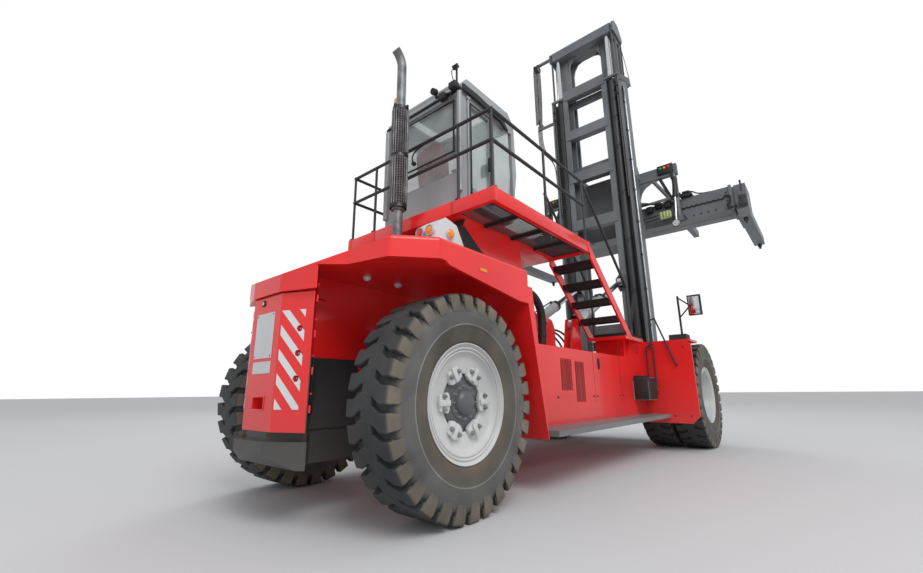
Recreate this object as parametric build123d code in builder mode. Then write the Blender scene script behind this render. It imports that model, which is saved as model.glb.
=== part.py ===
from build123d import *
import math
import os

# Heavy forklift truck with a duplex mast and a top-lift container spreader.
# Millimetres. +X is forward, +Y is left, +Z is up; z = 0 is the ground.
# Origin: middle of the whole machine's footprint, spreader at its 20 foot width.

os.makedirs("parts", exist_ok=True)

# Driving dimensions: running gear
rear_axle_x = -4350
wheelbase = 6320
tyre_radius = 937
tyre_width = 470
rim_radius = 480
rim_lip = 30
rear_track_half = 1190
twin_spacing = 560
front_track_half = 1490
kingpin_y = 1000
lug_count = 30
lug_height = 40
lug_width = 122
lug_lean = 24

# Driving dimensions: rear body and cover
tail_length = 1150
tail_half = 250
tail_corner_half = 560
tail_sweep = 130
body_top_z = 2085
well_radius = 1110
waist_half = 240
cover_low_z = 2085
cover_top_z = 2280
cover_half = 1500
cover_front = 880
cap_low_z = 1870
cap_length = 430
shut_gap = 12
cover_round = 70
ballast_low_z = 440
ballast_top_z = 720
ballast_half = 620
plate_wall = 12

# Driving dimensions: chassis
side_half = 1200
side_wall = 40
side_top_z = 1570
side_low_z = 560
side_start = 1140
side_end = 5250
board_half = 1585
board_top_z = 630
board_thick = 60

# Driving dimensions: tower, deck and cab
tower_half = 750
tower_front = 1950
deck_half = 1320
deck_rear = 560
deck_front = 3000
deck_top_z = 3200
deck_beam = 170
deck_lane = 410
rail_height = 1000
rail_radius = 22
post_radius = 18
elbow_radius = 27
cab_half = 720
cab_rear = 740
cab_low_z = 3300
cab_top_z = 5060
cab_length = 1130
cab_wall = 45
door_rear = 100
door_width = 530
glass_thick = 8
gap = 6
seat = 0.3

# Driving dimensions: mast
mast_rear = 6620
mast_low_z = 450
mast_top_z = 8800
mast_half = 930
web = 40
pivot_z = 560
pivot_pin = 45
inner_low_z = 1950
inner_top_z = 10300
crossbar_depth = 210
chain_y = 855
chain_thick = 34
rod_y = 700
lift_rod_radius = 70
lift_barrel_radius = 92
tilt_rear = 3920
tilt_rear_z = 2130
tilt_eye = 6500
tilt_eye_z = 3405
tilt_y = 500
tilt_radius = 110
tilt_rod_radius = 55
tilt_pin = 32
eye_play = 18

# Driving dimensions: carriage and spreader
carriage_low_z = 4700
carriage_top_z = 6450
beam_rear = 7640
beam_low_z = 4880
beam_height = 560
beam_tube = 320
beam_half = 2750
beam_wall = 20
frame_half = 3030
lock_half = 2926
lock_rear = 7620
lock_front = 9879
end_low_z = 4610
end_height = 200

# Values worked out from the ones above
front_axle_x = rear_axle_x + wheelbase
pivot_x = rear_axle_x + mast_rear + 60
mast_x = rear_axle_x + mast_rear
SIDES = (("right", -1), ("left", 1))


def bar(start, end, radius, mode=Mode.ADD):
    """A round bar from start to end, added to the part being built."""
    run = Vector(*end) - Vector(*start)
    with BuildSketch(Plane(origin=start, z_dir=run)) as section:
        Circle(radius)
    extrude(section.sketch, amount=run.length, mode=mode)


def block(low, high, mode=Mode.ADD):
    """A box between two corners, added to the part being built."""
    size = [b - a for a, b in zip(low, high)]
    with Locations([tuple((a + b) / 2 for a, b in zip(low, high))]):
        Box(*size, mode=mode)


def slab_y(points, y_low, y_high, mode=Mode.ADD):
    """An outline of (x, z) points, extruded from y_low to y_high."""
    with BuildSketch(Plane.XZ.offset(-y_high)) as outline:
        with BuildLine():
            Polyline(*points, close=True)
        make_face()
    extrude(outline.sketch, amount=y_high - y_low, mode=mode)


def slab_z(points, z_low, z_high, mode=Mode.ADD):
    """An outline of (x, y) points, extruded from z_low to z_high."""
    with BuildSketch(Plane.XY.offset(z_low)) as outline:
        with BuildLine():
            Polyline(*points, close=True)
        make_face()
    extrude(outline.sketch, amount=z_high - z_low, mode=mode)


def save(builder, label):
    """Names the finished piece and writes it to its own file."""
    builder.part.label = label
    export_step(builder.part, f"parts/{label}.step")


def wheel_plane(x, y):
    """Plane whose Z runs along the axle, at height of the hub."""
    return Plane(origin=(x, y, tyre_radius), x_dir=(1, 0, 0), z_dir=(0, 1, 0))


# Tyre: a turned carcass with a row of cranked lugs over each shoulder, the rows meeting in the middle
half_tyre = tyre_width / 2
tyre_base = tyre_radius - lug_height
lug_edge = half_tyre - 2
lug_bend_out = 150
lug_bend_in = 70
lug_root = 80
with BuildPart() as tyre_blank:
    with BuildSketch(Plane.YZ) as carcass:
        with BuildLine():
            Polyline(
                (55 - half_tyre, rim_radius),
                (half_tyre - 55, rim_radius),
                (half_tyre + 2, rim_radius + 90),
                (half_tyre + 10, rim_radius + 190),
                (half_tyre - 4, tyre_base - 100),
                (half_tyre - 14, tyre_base - 50),
                (half_tyre - 60, tyre_base),
                (60 - half_tyre, tyre_base),
                (14 - half_tyre, tyre_base - 50),
                (4 - half_tyre, tyre_base - 100),
                (-half_tyre - 10, rim_radius + 190),
                (-half_tyre - 2, rim_radius + 90),
                close=True,
            )
        make_face()
    revolve(carcass.sketch, axis=Axis.Y)
    lug_top = math.sqrt(tyre_radius**2 - (lug_width / 2 + lug_lean) ** 2)
    outer_x0 = -lug_lean - lug_width / 2
    inner_x0 = lug_lean - lug_width / 2
    lugs = []
    for row in (-1, 1):
        with BuildSketch(Plane.XY.offset(tyre_base - lug_root)) as lug:
            with BuildLine():
                Polyline(
                    (outer_x0, row * lug_edge),
                    (outer_x0 + lug_width, row * lug_edge),
                    (outer_x0 + lug_width, row * lug_bend_out),
                    (inner_x0 + lug_width, row * lug_bend_in),
                    (inner_x0 + lug_width, -row * 12),
                    (inner_x0, -row * 12),
                    (inner_x0, row * lug_bend_in),
                    (outer_x0, row * lug_bend_out),
                    close=True,
                )
            make_face()
        first = extrude(lug.sketch, amount=lug_top - tyre_base + lug_root, mode=Mode.PRIVATE)
        phase = 0.5 if row > 0 else 0
        for step in range(lug_count):
            lugs.append(first.rotate(Axis.Y, (step + phase) * 360 / lug_count))
    add(lugs)


def tyre_solid(x, y):
    """A copy of the tyre, set at a wheel's place."""
    add(tyre_blank.part.moved(Location((x, y, tyre_radius))))


# Wheels: a single tyre and rim on each side at the rear, twins in front
def rim_solid(x, y, outward, dish):
    """A turned rim with its disc set in by dish from the outer lip."""
    half = tyre_width / 2 - 40
    disc = half - dish
    plane_x = Plane(origin=(x, y, tyre_radius), x_dir=(0, outward, 0), z_dir=(-outward, 0, 0))
    with BuildSketch(plane_x) as section:
        with BuildLine():
            Polyline(
                (-half, rim_radius - seat),
                (half, rim_radius - seat),
                (half, rim_radius + rim_lip - 12),
                (half + 16, rim_radius + rim_lip - 12),
                (half + 16, rim_radius - 45),
                (half - 40, rim_radius - 60),
                (disc + 12, 300),
                (disc + 12, 170),
                (disc - 14, 170),
                (disc - 14, 300),
                (half - 70, rim_radius - 40),
                (-half, rim_radius - 40),
                close=True,
            )
        make_face()
    revolve(section.sketch, axis=Axis((x, y, tyre_radius), (0, 1, 0)))


def hub_solid(x, y, outward, disc_y, reach):
    """Hub drum with a cap, filling the disc's centre hole."""
    plane_x = Plane(origin=(x, y, tyre_radius), x_dir=(0, outward, 0), z_dir=(-outward, 0, 0))
    with BuildSketch(plane_x) as section:
        with BuildLine():
            Polyline(
                (disc_y - 90, 0),
                (disc_y - 90, 150),
                (disc_y - 14, 171),
                (disc_y + 12, 171),
                (disc_y + 60, 165),
                (disc_y + 60, 110),
                (disc_y + reach, 100),
                (disc_y + reach, 0),
                close=True,
            )
        make_face()
    revolve(section.sketch, axis=Axis((x, y, tyre_radius), (0, 1, 0)))


rear_dish = 120
front_dish = 330
half_rim = tyre_width / 2 - 40
for name, side in SIDES:
    with BuildPart() as tyre:
        tyre_solid(rear_axle_x, side * rear_track_half)
    save(tyre, f"rear_tyre_{name}")

    with BuildPart() as rim:
        rim_solid(rear_axle_x, side * rear_track_half, side, rear_dish)
        hub_solid(rear_axle_x, side * rear_track_half, side, half_rim - rear_dish, 110)
    save(rim, f"rear_rim_{name}")

    twin_ys = [side * (front_track_half - twin_spacing / 2), side * (front_track_half + twin_spacing / 2)]
    with BuildPart() as tyres:
        for y in twin_ys:
            tyre_solid(front_axle_x, y)
    save(tyres, f"front_tyres_{name}")

    with BuildPart() as rims:
        rim_solid(front_axle_x, twin_ys[1], side, front_dish)
        hub_solid(front_axle_x, twin_ys[1], side, half_rim - front_dish, 150)
        rim_solid(front_axle_x, twin_ys[0], -side, front_dish)
        inner_disc = half_rim - front_dish
        bar(
            (front_axle_x, twin_ys[0] - side * inner_disc, tyre_radius),
            (front_axle_x, twin_ys[1] + side * inner_disc, tyre_radius),
            172,
        )
    save(rims, f"front_rims_{name}")

# Steer axle: a beam between two kingpins, with a knuckle and stub for each wheel
axle_beam_half = kingpin_y - 190
axle_deep = 130
axle_high = 140
with BuildPart() as steer_axle:
    block(
        (rear_axle_x - axle_deep, -axle_beam_half, tyre_radius - axle_high),
        (rear_axle_x + axle_deep, axle_beam_half, tyre_radius + axle_high),
    )
    for side in (-1, 1):
        ear_ys = sorted((side * (axle_beam_half - 60), side * (kingpin_y + 70)))
        for level in (-1, 1):
            ear_zs = sorted((tyre_radius + level * 95, tyre_radius + level * axle_high))
            block((rear_axle_x - 80, ear_ys[0], ear_zs[0]), (rear_axle_x + 80, ear_ys[1], ear_zs[1]))
save(steer_axle, "steer_axle")

stub_end = rear_track_half + half_rim - rear_dish - 90 - seat
for name, side in SIDES:
    with BuildPart() as knuckle:
        bar(
            (rear_axle_x, side * kingpin_y, tyre_radius - 95 + seat),
            (rear_axle_x, side * kingpin_y, tyre_radius + 95 - seat),
            62,
        )
        bar((rear_axle_x, side * kingpin_y, tyre_radius), (rear_axle_x, side * stub_end, tyre_radius), 80)
    save(knuckle, f"knuckle_{name}")

# Drive axle: a banjo housing with a bowl, ending at the inner rims
drive_end = front_track_half - twin_spacing / 2 + front_dish - half_rim - seat
with BuildPart() as drive_axle:
    bar((front_axle_x, -drive_end, tyre_radius), (front_axle_x, drive_end, tyre_radius), 160)
    bar((front_axle_x, -820, tyre_radius), (front_axle_x, 820, tyre_radius), 200)
    with Locations((front_axle_x, 0, tyre_radius)):
        Sphere(330)
    block((front_axle_x + 205, -400, 500), (front_axle_x + 400, 400, 1400), mode=Mode.SUBTRACT)
save(drive_axle, "drive_axle")

# Chassis: two deep side plates and a waist between the steered wheels, with mast feet in front
side_x0 = rear_axle_x + side_start
side_x1 = rear_axle_x + side_end
foot_front = pivot_x + 110
guard_top_x = rear_axle_x + 830
guard_foot_x = rear_axle_x + side_start
guard_foot_z = 545
guard_thick_top = 120
waist_low_z = tyre_radius + axle_high + seat
beam_x0 = side_x0 + 30


# Grilles in the side plates: first and last x, low and high z
grilles = (
    (rear_axle_x + 2060, rear_axle_x + 2360, 1030, 1430),
    (rear_axle_x + 2460, rear_axle_x + 2730, 880, 1410),
)
grille_deep = 16
slat_pitch = 45


def guard_face(z):
    """Front face of the sloping mudguard plate at a height."""
    share = (body_top_z - z) / (body_top_z - guard_foot_z)
    top = guard_top_x + guard_thick_top
    return top + (guard_foot_x + plate_wall - top) * share + seat


with BuildPart() as frame:
    for side in (-1, 1):
        ys = sorted((side * side_half, side * (side_half - side_wall)))
        slab_y(
            [
                (guard_face(side_low_z + 60) + 5, side_low_z + 60),
                (side_x0 + 160, side_low_z),
                (side_x1, side_low_z),
                (side_x1, side_top_z + 280),
                (side_x1 - 620, side_top_z + 280),
                (side_x1 - 760, side_top_z),
                (side_x0 + 20, side_top_z),
                (side_x0 - 60, side_top_z + 180),
                (guard_face(side_top_z + 180) + 5, side_top_z + 180),
            ],
            ys[0],
            ys[1],
        )
        beam_ys = sorted((side * 200, side * 640))
        slab_y(
            [
                (beam_x0, waist_low_z),
                (beam_x0 + 300, 620),
                (front_axle_x - 500, 620),
                (front_axle_x - 240, tyre_radius - 120),
                (front_axle_x - 240, tyre_radius + 330),
                (front_axle_x - 700, side_top_z),
                (beam_x0, side_top_z),
            ],
            beam_ys[0],
            beam_ys[1],
        )
        foot_ys = sorted((side * 480, side * 640))
        slab_y(
            [
                (front_axle_x - 260, tyre_radius + 300),
                (front_axle_x - 260, pivot_z - 40),
                (pivot_x - 120, pivot_z - 120),
                (foot_front, pivot_z - 60),
                (foot_front, pivot_z + 60),
                (front_axle_x + 120, tyre_radius - 100),
                (front_axle_x - 60, tyre_radius - 100),
                (front_axle_x - 200, tyre_radius),
            ],
            foot_ys[0],
            foot_ys[1],
        )
        bar((pivot_x, side * 600, pivot_z), (pivot_x, side * (mast_half - web), pivot_z), pivot_pin)
        for x0, x1, low_z, high_z in grilles:
            pocket_ys = sorted((side * (side_half - grille_deep), side * (side_half + 1)))
            block((x0, pocket_ys[0], low_z), (x1, pocket_ys[1], high_z), mode=Mode.SUBTRACT)
            slats = round((x1 - x0) / slat_pitch)
            for slat in range(1, slats):
                x = x0 + slat * (x1 - x0) / slats
                slat_ys = sorted((side * (side_half - grille_deep - 1), side * (side_half - 2)))
                block((x - 6, slat_ys[0], low_z - 1), (x + 6, slat_ys[1], high_z + 1))
    block((rear_axle_x - 300, -waist_half, waist_low_z), (beam_x0 + 10, waist_half, side_top_z))
    block((side_x0 + 120, -side_half, side_low_z + 60), (side_x0 + 160, side_half, side_top_z))
    block((side_x1 - 300, -side_half, side_low_z + 60), (side_x1 - 260, side_half, side_top_z))
    bar((front_axle_x, -820, tyre_radius), (front_axle_x, 820, tyre_radius), 200 + seat, mode=Mode.SUBTRACT)
    with Locations((front_axle_x, 0, tyre_radius)):
        Sphere(330 + seat, mode=Mode.SUBTRACT)
save(frame, "frame")

# Counterweight: a stepped block low between and behind the rear wheels
tail_x = rear_axle_x - tail_length


def well_sketch(z, radius):
    """Round wells about the kingpins, one each side of the waist."""
    with BuildSketch(Plane.XY.offset(z)) as wells:
        with Locations((rear_axle_x, -kingpin_y), (rear_axle_x, kingpin_y)):
            Circle(radius)
        with Locations((rear_axle_x, 0)):
            Rectangle(4 * radius, 2 * waist_half, mode=Mode.SUBTRACT)
    return wells.sketch


ballast_step_z = ballast_top_z - 70
tie_slot_z = 895
panel_hole = 26
panel_hole_zs = (1140, 1347, 1553)
with BuildPart() as counterweight:
    for inset, low_z, high_z in ((0, ballast_low_z, ballast_step_z), (70, ballast_step_z - 1, ballast_top_z)):
        slab_z(
            [
                (tail_x - 60 + inset, -tail_half + inset),
                (tail_x + 190 + inset, inset - ballast_half),
                (rear_axle_x - 250, inset - ballast_half),
                (rear_axle_x - 250, ballast_half - inset),
                (tail_x + 190 + inset, ballast_half - inset),
                (tail_x - 60 + inset, tail_half - inset),
            ],
            low_z,
            high_z,
        )
    slab_y(
        [
            (tail_x - 100, ballast_low_z - 1),
            (tail_x + 110, ballast_low_z - 1),
            (tail_x - 100, ballast_low_z + 150),
        ],
        -1000,
        1000,
        mode=Mode.SUBTRACT,
    )
    extrude(well_sketch(ballast_low_z - 1, well_radius - 20), amount=400, mode=Mode.SUBTRACT)
save(counterweight, "counterweight")

# Rear body: the painted tail with a vertical round well for each steered wheel
with BuildPart() as rear_body:
    slab_z(
        [
            (tail_x, -tail_half),
            (tail_x + tail_sweep, -tail_corner_half),
            (tail_x + tail_sweep + 60, -640),
            (rear_axle_x, -640),
            (rear_axle_x, -waist_half),
            (rear_axle_x + 1100, -waist_half),
            (rear_axle_x + 1100, waist_half),
            (rear_axle_x, waist_half),
            (rear_axle_x, 640),
            (tail_x + tail_sweep + 60, 640),
            (tail_x + tail_sweep, tail_corner_half),
            (tail_x, tail_half),
        ],
        ballast_top_z + seat,
        body_top_z,
    )
    extrude(well_sketch(ballast_top_z - 1, well_radius), amount=body_top_z, mode=Mode.SUBTRACT)
    block(
        (rear_axle_x - 300 - seat, -700, ballast_top_z - 1),
        (rear_axle_x + 1200, 700, side_top_z + seat),
        mode=Mode.SUBTRACT,
    )
    block(
        (tail_x - 100, -800, cap_low_z),
        (tail_x + cap_length + seat, 800, body_top_z + 1),
        mode=Mode.SUBTRACT,
    )
    block((tail_x - 1, -100, tie_slot_z), (tail_x + 80, 100, tie_slot_z + 100), mode=Mode.SUBTRACT)
    for side in (-1, 1):
        for z in panel_hole_zs:
            bar((tail_x, side * 445, z), (tail_x + 150, side * 445, z), panel_hole, mode=Mode.SUBTRACT)
save(rear_body, "rear_body")

# Rear cover: wide deck over the steered wheels with a mudguard plate behind each wheel
cover_outline = [
    (tail_x - 25, -tail_half),
    (tail_x + tail_sweep - 30, -620),
    (rear_axle_x - 880, -800),
    (rear_axle_x - 800, -1230),
    (rear_axle_x - 480, -cover_half),
    (rear_axle_x + cover_front, -cover_half),
    (rear_axle_x + cover_front + 260, -side_half),
    (rear_axle_x + cover_front + 260, side_half),
    (rear_axle_x + cover_front, cover_half),
    (rear_axle_x - 480, cover_half),
    (rear_axle_x - 800, 1230),
    (rear_axle_x - 880, 800),
    (tail_x + tail_sweep - 30, 620),
    (tail_x - 25, tail_half),
]
lid_low_z = body_top_z + seat
with BuildPart() as rear_cover:
    with BuildSketch(Plane.XY.offset(lid_low_z)) as lid:
        with BuildLine():
            Polyline(*cover_outline, close=True)
        make_face()
        fillet(lid.vertices(), cover_round)
    extrude(lid.sketch, amount=cover_top_z - lid_low_z)
    fillet(rear_cover.faces().sort_by(Axis.Z)[-1].edges(), 40)
    with BuildSketch(Plane.XY.offset(cap_low_z + shut_gap)) as cap:
        with BuildLine():
            Polyline(
                (tail_x - 25, -tail_half),
                (tail_x + tail_sweep - 30, -620),
                (tail_x + cap_length, -700),
                (tail_x + cap_length, 700),
                (tail_x + tail_sweep - 30, 620),
                (tail_x - 25, tail_half),
                close=True,
            )
        make_face()
        fillet(cap.vertices().sort_by(Axis.X)[:4], cover_round)
    cap_block = extrude(cap.sketch, amount=lid_low_z - cap_low_z - shut_gap + 1, mode=Mode.PRIVATE)
    wells = extrude(well_sketch(cap_low_z - 1, well_radius), amount=lid_low_z - cap_low_z + 3, mode=Mode.PRIVATE)
    add(cap_block - wells)
    slab_y(
        [
            (tail_x - 200, cap_low_z + 70),
            (tail_x - 200, cover_top_z + 100),
            (tail_x + cap_length, cover_top_z + 100),
            (tail_x + cap_length, cover_top_z + 20),
        ],
        -1600,
        1600,
        mode=Mode.SUBTRACT,
    )
    for side in (-1, 1):
        skirt_ys = sorted((side * cover_half, side * (cover_half - 30)))
        slab_y(
            [
                (rear_axle_x - 420, lid_low_z + 5),
                (rear_axle_x - 360, 2055),
                (rear_axle_x + 700, 1912),
                (rear_axle_x + 874, 1912),
                (rear_axle_x + 840, lid_low_z + 5),
            ],
            skirt_ys[0],
            skirt_ys[1],
        )
        ys = sorted((side * cover_half, side * 940))
        slab_y(
            [
                (guard_top_x, body_top_z + 10),
                (guard_foot_x, guard_foot_z),
                (guard_foot_x + plate_wall, guard_foot_z),
                (guard_top_x + guard_thick_top, body_top_z),
                (guard_top_x + guard_thick_top, body_top_z + 10),
            ],
            ys[0],
            ys[1],
        )
save(rear_cover, "rear_cover")

# Tower: the raised housing that carries the deck and the cab
tower_back = rear_axle_x + cover_front + 260 + seat
with BuildPart() as tower:
    slab_y(
        [
            (rear_axle_x + 560, cover_top_z + seat),
            (tower_back, cover_top_z + seat),
            (tower_back, side_top_z + seat),
            (rear_axle_x + tower_front, side_top_z + seat),
            (rear_axle_x + tower_front, deck_top_z - deck_beam - seat),
            (rear_axle_x + deck_rear + 200, deck_top_z - deck_beam - seat),
            (rear_axle_x + 640, 2780),
        ],
        -tower_half,
        tower_half,
    )
save(tower, "tower")

# Engine and gearbox: one plain block of the real mass between the frame's beams
with BuildPart() as engine_block:
    block((rear_axle_x + 1310, seat - 200, 700), (rear_axle_x + 3200, 200 - seat, side_top_z - 40))
save(engine_block, "engine_block")

# Deck: a beam frame on the tower, open under the gratings on both sides
deck_x0 = rear_axle_x + deck_rear
deck_x1 = rear_axle_x + deck_front
deck_bays = 4
bay_bar = 50
with BuildPart() as deck_frame:
    block((deck_x0, -deck_half, deck_top_z - deck_beam), (deck_x1, deck_half, deck_top_z))
    bay = (deck_front - deck_rear - bay_bar) / deck_bays
    for side in (-1, 1):
        lane = sorted((side * deck_lane, side * (deck_half - 60)))
        for step in range(deck_bays):
            x0 = deck_x0 + bay_bar + step * bay
            block((x0, lane[0], deck_top_z - deck_beam - 1), (x0 + bay - bay_bar, lane[1], deck_top_z + 1), mode=Mode.SUBTRACT)
save(deck_frame, "deck_frame")

# Gratings in the deck's bays
grate_thick = 32
grate_pitch = 110
with BuildPart() as gratings:
    for side in (-1, 1):
        lane = sorted((side * (deck_lane + gap), side * (deck_half - 60 - gap)))
        for step in range(deck_bays):
            x0 = deck_x0 + bay_bar + step * bay + seat
            x1 = deck_x0 + (step + 1) * bay - seat
            lines = int((lane[1] - lane[0]) / grate_pitch)
            block((x0, lane[0], deck_top_z - grate_thick), (x0 + 12, lane[1], deck_top_z - 2))
            block((x1 - 12, lane[0], deck_top_z - grate_thick), (x1, lane[1], deck_top_z - 2))
            for line in range(lines + 1):
                y = lane[0] + 5 + line * (lane[1] - lane[0] - 10) / lines
                block((x0, y - 5, deck_top_z - grate_thick), (x1, y + 5, deck_top_z - 2))
save(gratings, "gratings")

# Stairs on both sides: two stringers each, from the deck down to the landing
stair_top = (rear_axle_x + 2980, deck_top_z - 30)
stair_foot = (rear_axle_x + 4430, 1905)
stringer_ys = (640, 1300)
stringer_wall = 30
stringer_deep = 170
stair_steps = 5
stair_rise = 250
stair_slope = (stair_top[1] - stair_foot[1]) / (stair_foot[0] - stair_top[0])
with BuildPart() as stringers:
    for side in (-1, 1):
        for y in stringer_ys:
            ys = sorted((side * (y - stringer_wall / 2), side * (y + stringer_wall / 2)))
            slab_y(
                [
                    (deck_x1 + seat, stair_top[1]),
                    (deck_x1 + seat, stair_top[1] - stringer_deep - 30),
                    (stair_foot[0] - stringer_deep, stair_foot[1]),
                    (stair_foot[0] + 40, stair_foot[1]),
                ],
                ys[0],
                ys[1],
            )
save(stringers, "stringers")

tread_deep = 240
with BuildPart() as treads:
    for side in (-1, 1):
        ys = sorted((side * (stringer_ys[0] + stringer_wall / 2 + seat), side * (stringer_ys[1] - stringer_wall / 2 - seat)))
        for step in range(1, stair_steps):
            z = deck_top_z - step * stair_rise
            x = stair_top[0] + (stair_top[1] - z) / stair_slope - 150
            block((x, ys[0], z - 45), (x + 14, ys[1], z))
            block((x + tread_deep - 14, ys[0], z - 45), (x + tread_deep, ys[1], z))
            for line in range(6):
                y = ys[0] + 5 + line * (ys[1] - ys[0] - 10) / 5
                block((x, y - 5, z - 40), (x + tread_deep, y + 5, z - 2))
save(treads, "stair_treads")

# Landings: a box on each side plate that the stairs stand on
landing_x0 = rear_axle_x + 4150
landing_x1 = rear_axle_x + 5000
landing_z = stair_foot[1] - seat
with BuildPart() as landings:
    for side in (-1, 1):
        ys = sorted((side * 665, side * (side_half + 120)))
        block((landing_x0, ys[0], side_top_z + 280 + seat), (landing_x1, ys[1], landing_z))
        inner_ys = sorted((side * 665, side * (side_half - side_wall - seat)))
        block((landing_x0 + 300, inner_ys[0], side_top_z - 200), (landing_x1 - 60, inner_ys[1], side_top_z + 281))
save(landings, "landings")

# Front fenders: a wall plate behind each pair of front wheels, with a top
fender_x = rear_axle_x + 5215
fender_half = 2030
fender_low_z = 480
fender_top_z = 1880
with BuildPart() as fenders:
    for side in (-1, 1):
        ys = sorted((side * (side_half + seat), side * fender_half))
        with BuildSketch(Plane.YZ.offset(fender_x)) as plate:
            with BuildLine():
                Polyline(
                    (side * (side_half + seat), fender_low_z),
                    (side * (fender_half - 120), fender_low_z),
                    (side * fender_half, fender_low_z + 120),
                    (side * fender_half, fender_top_z - 90),
                    (side * (fender_half - 90), fender_top_z),
                    (side * (side_half + seat), fender_top_z),
                    close=True,
                )
            make_face()
        extrude(plate.sketch, amount=plate_wall + 18)
        block((fender_x, ys[0], fender_top_z - 40), (fender_x + 500, ys[1] if side > 0 else ys[1], fender_top_z))
        with BuildSketch(Plane.XZ.offset(3000)) as arch:
            with Locations((front_axle_x, tyre_radius)):
                Circle(tyre_radius + 70)
        extrude(arch.sketch, amount=-6000, mode=Mode.SUBTRACT)
save(fenders, "fenders")

# Running boards along the chassis
with BuildPart() as running_boards:
    for side in (-1, 1):
        ys = sorted((side * (side_half + seat), side * board_half))
        block((side_x0 + 60, ys[0], board_top_z - board_thick), (fender_x - seat, ys[1], board_top_z))
        box_ys = sorted((side * (side_half + seat), side * (side_half + 250)))
        block((fender_x - 600, box_ys[0], 870), (fender_x - 160, box_ys[1], 1210))
        block((fender_x - 520, box_ys[0], 1209), (fender_x - 240, box_ys[1], 1235))
save(running_boards, "running_boards")

# Handrails: two tubes on posts round the deck and down both sides of the stairs
rail_in = 40
mid_rail_height = 600
post_foot = 45

# Grab rails behind each front fender, as runs of (y, z) points
grab_out = 45
grab_radius = 14
grab_runs = (
    ((1400, 1830), (1400, 2250), (1500, 2285), (1770, 1450)),
    ((1300, 1010), (1300, 1770), (1360, 1820), (1420, 1770), (1420, 1010)),
)


def rail_line(points, height, lift):
    """A tube that follows floor points at a height, with round elbows at its corners."""
    tops = [(x, y, z + height + lift) for x, y, z in points]
    for start, end in zip(tops, tops[1:]):
        bar(start, end, rail_radius)
    for point in tops[1:-1]:
        with Locations(point):
            Sphere(elbow_radius)


with BuildPart() as handrails:
    for side in (-1, 1):
        edge = side * (deck_half - rail_in)
        deck_run = [
            (deck_x0 + rail_in, 0, deck_top_z),
            (deck_x0 + rail_in, edge, deck_top_z),
            (deck_x1 - rail_in, edge, deck_top_z),
        ]
        for height in (rail_height, mid_rail_height):
            rail_line(deck_run, height, 0)
        middle = (deck_x0 + (deck_x1 - deck_x0) / 2, edge, deck_top_z)
        rear_post = (deck_x0 + rail_in, side * (cab_half + 60), deck_top_z)
        for x, y, z in deck_run[1:] + [middle, rear_post]:
            bar((x, y, z + seat), (x, y, z + rail_height), post_radius)
            bar((x, y, z + seat), (x, y, z + 14), post_foot)
        for y in stringer_ys:
            top = (deck_x1 - rail_in, side * y, deck_top_z + rail_height)
            foot = (stair_foot[0] + 70, side * y, landing_z + rail_height - 120)
            if y > 1000:
                top = (deck_x1 - rail_in, edge, deck_top_z + rail_height)
                foot = (stair_foot[0] + 70, edge, landing_z + rail_height - 120)
            bar(top, foot, rail_radius)
            bar(foot, (foot[0], foot[1], landing_z + seat), post_radius)
            with Locations(foot):
                Sphere(elbow_radius)
            if y < 1000:
                bar(top, (top[0], top[1], deck_top_z + seat), post_radius)
            with Locations(top):
                Sphere(elbow_radius)
        for run in grab_runs:
            line = [(fender_x - grab_out, side * y, z) for y, z in run]
            for start, end in zip(line, line[1:]):
                bar(start, end, grab_radius)
            for point in line[1:-1]:
                with Locations(point):
                    Sphere(grab_radius + 1)
            for x, y, z in (line[0], line[-1]):
                with Locations((x, y, z)):
                    Sphere(grab_radius + 1)
                bar((x, y, z), (fender_x - seat, y, z), grab_radius + 2)
save(handrails, "handrails")

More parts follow.
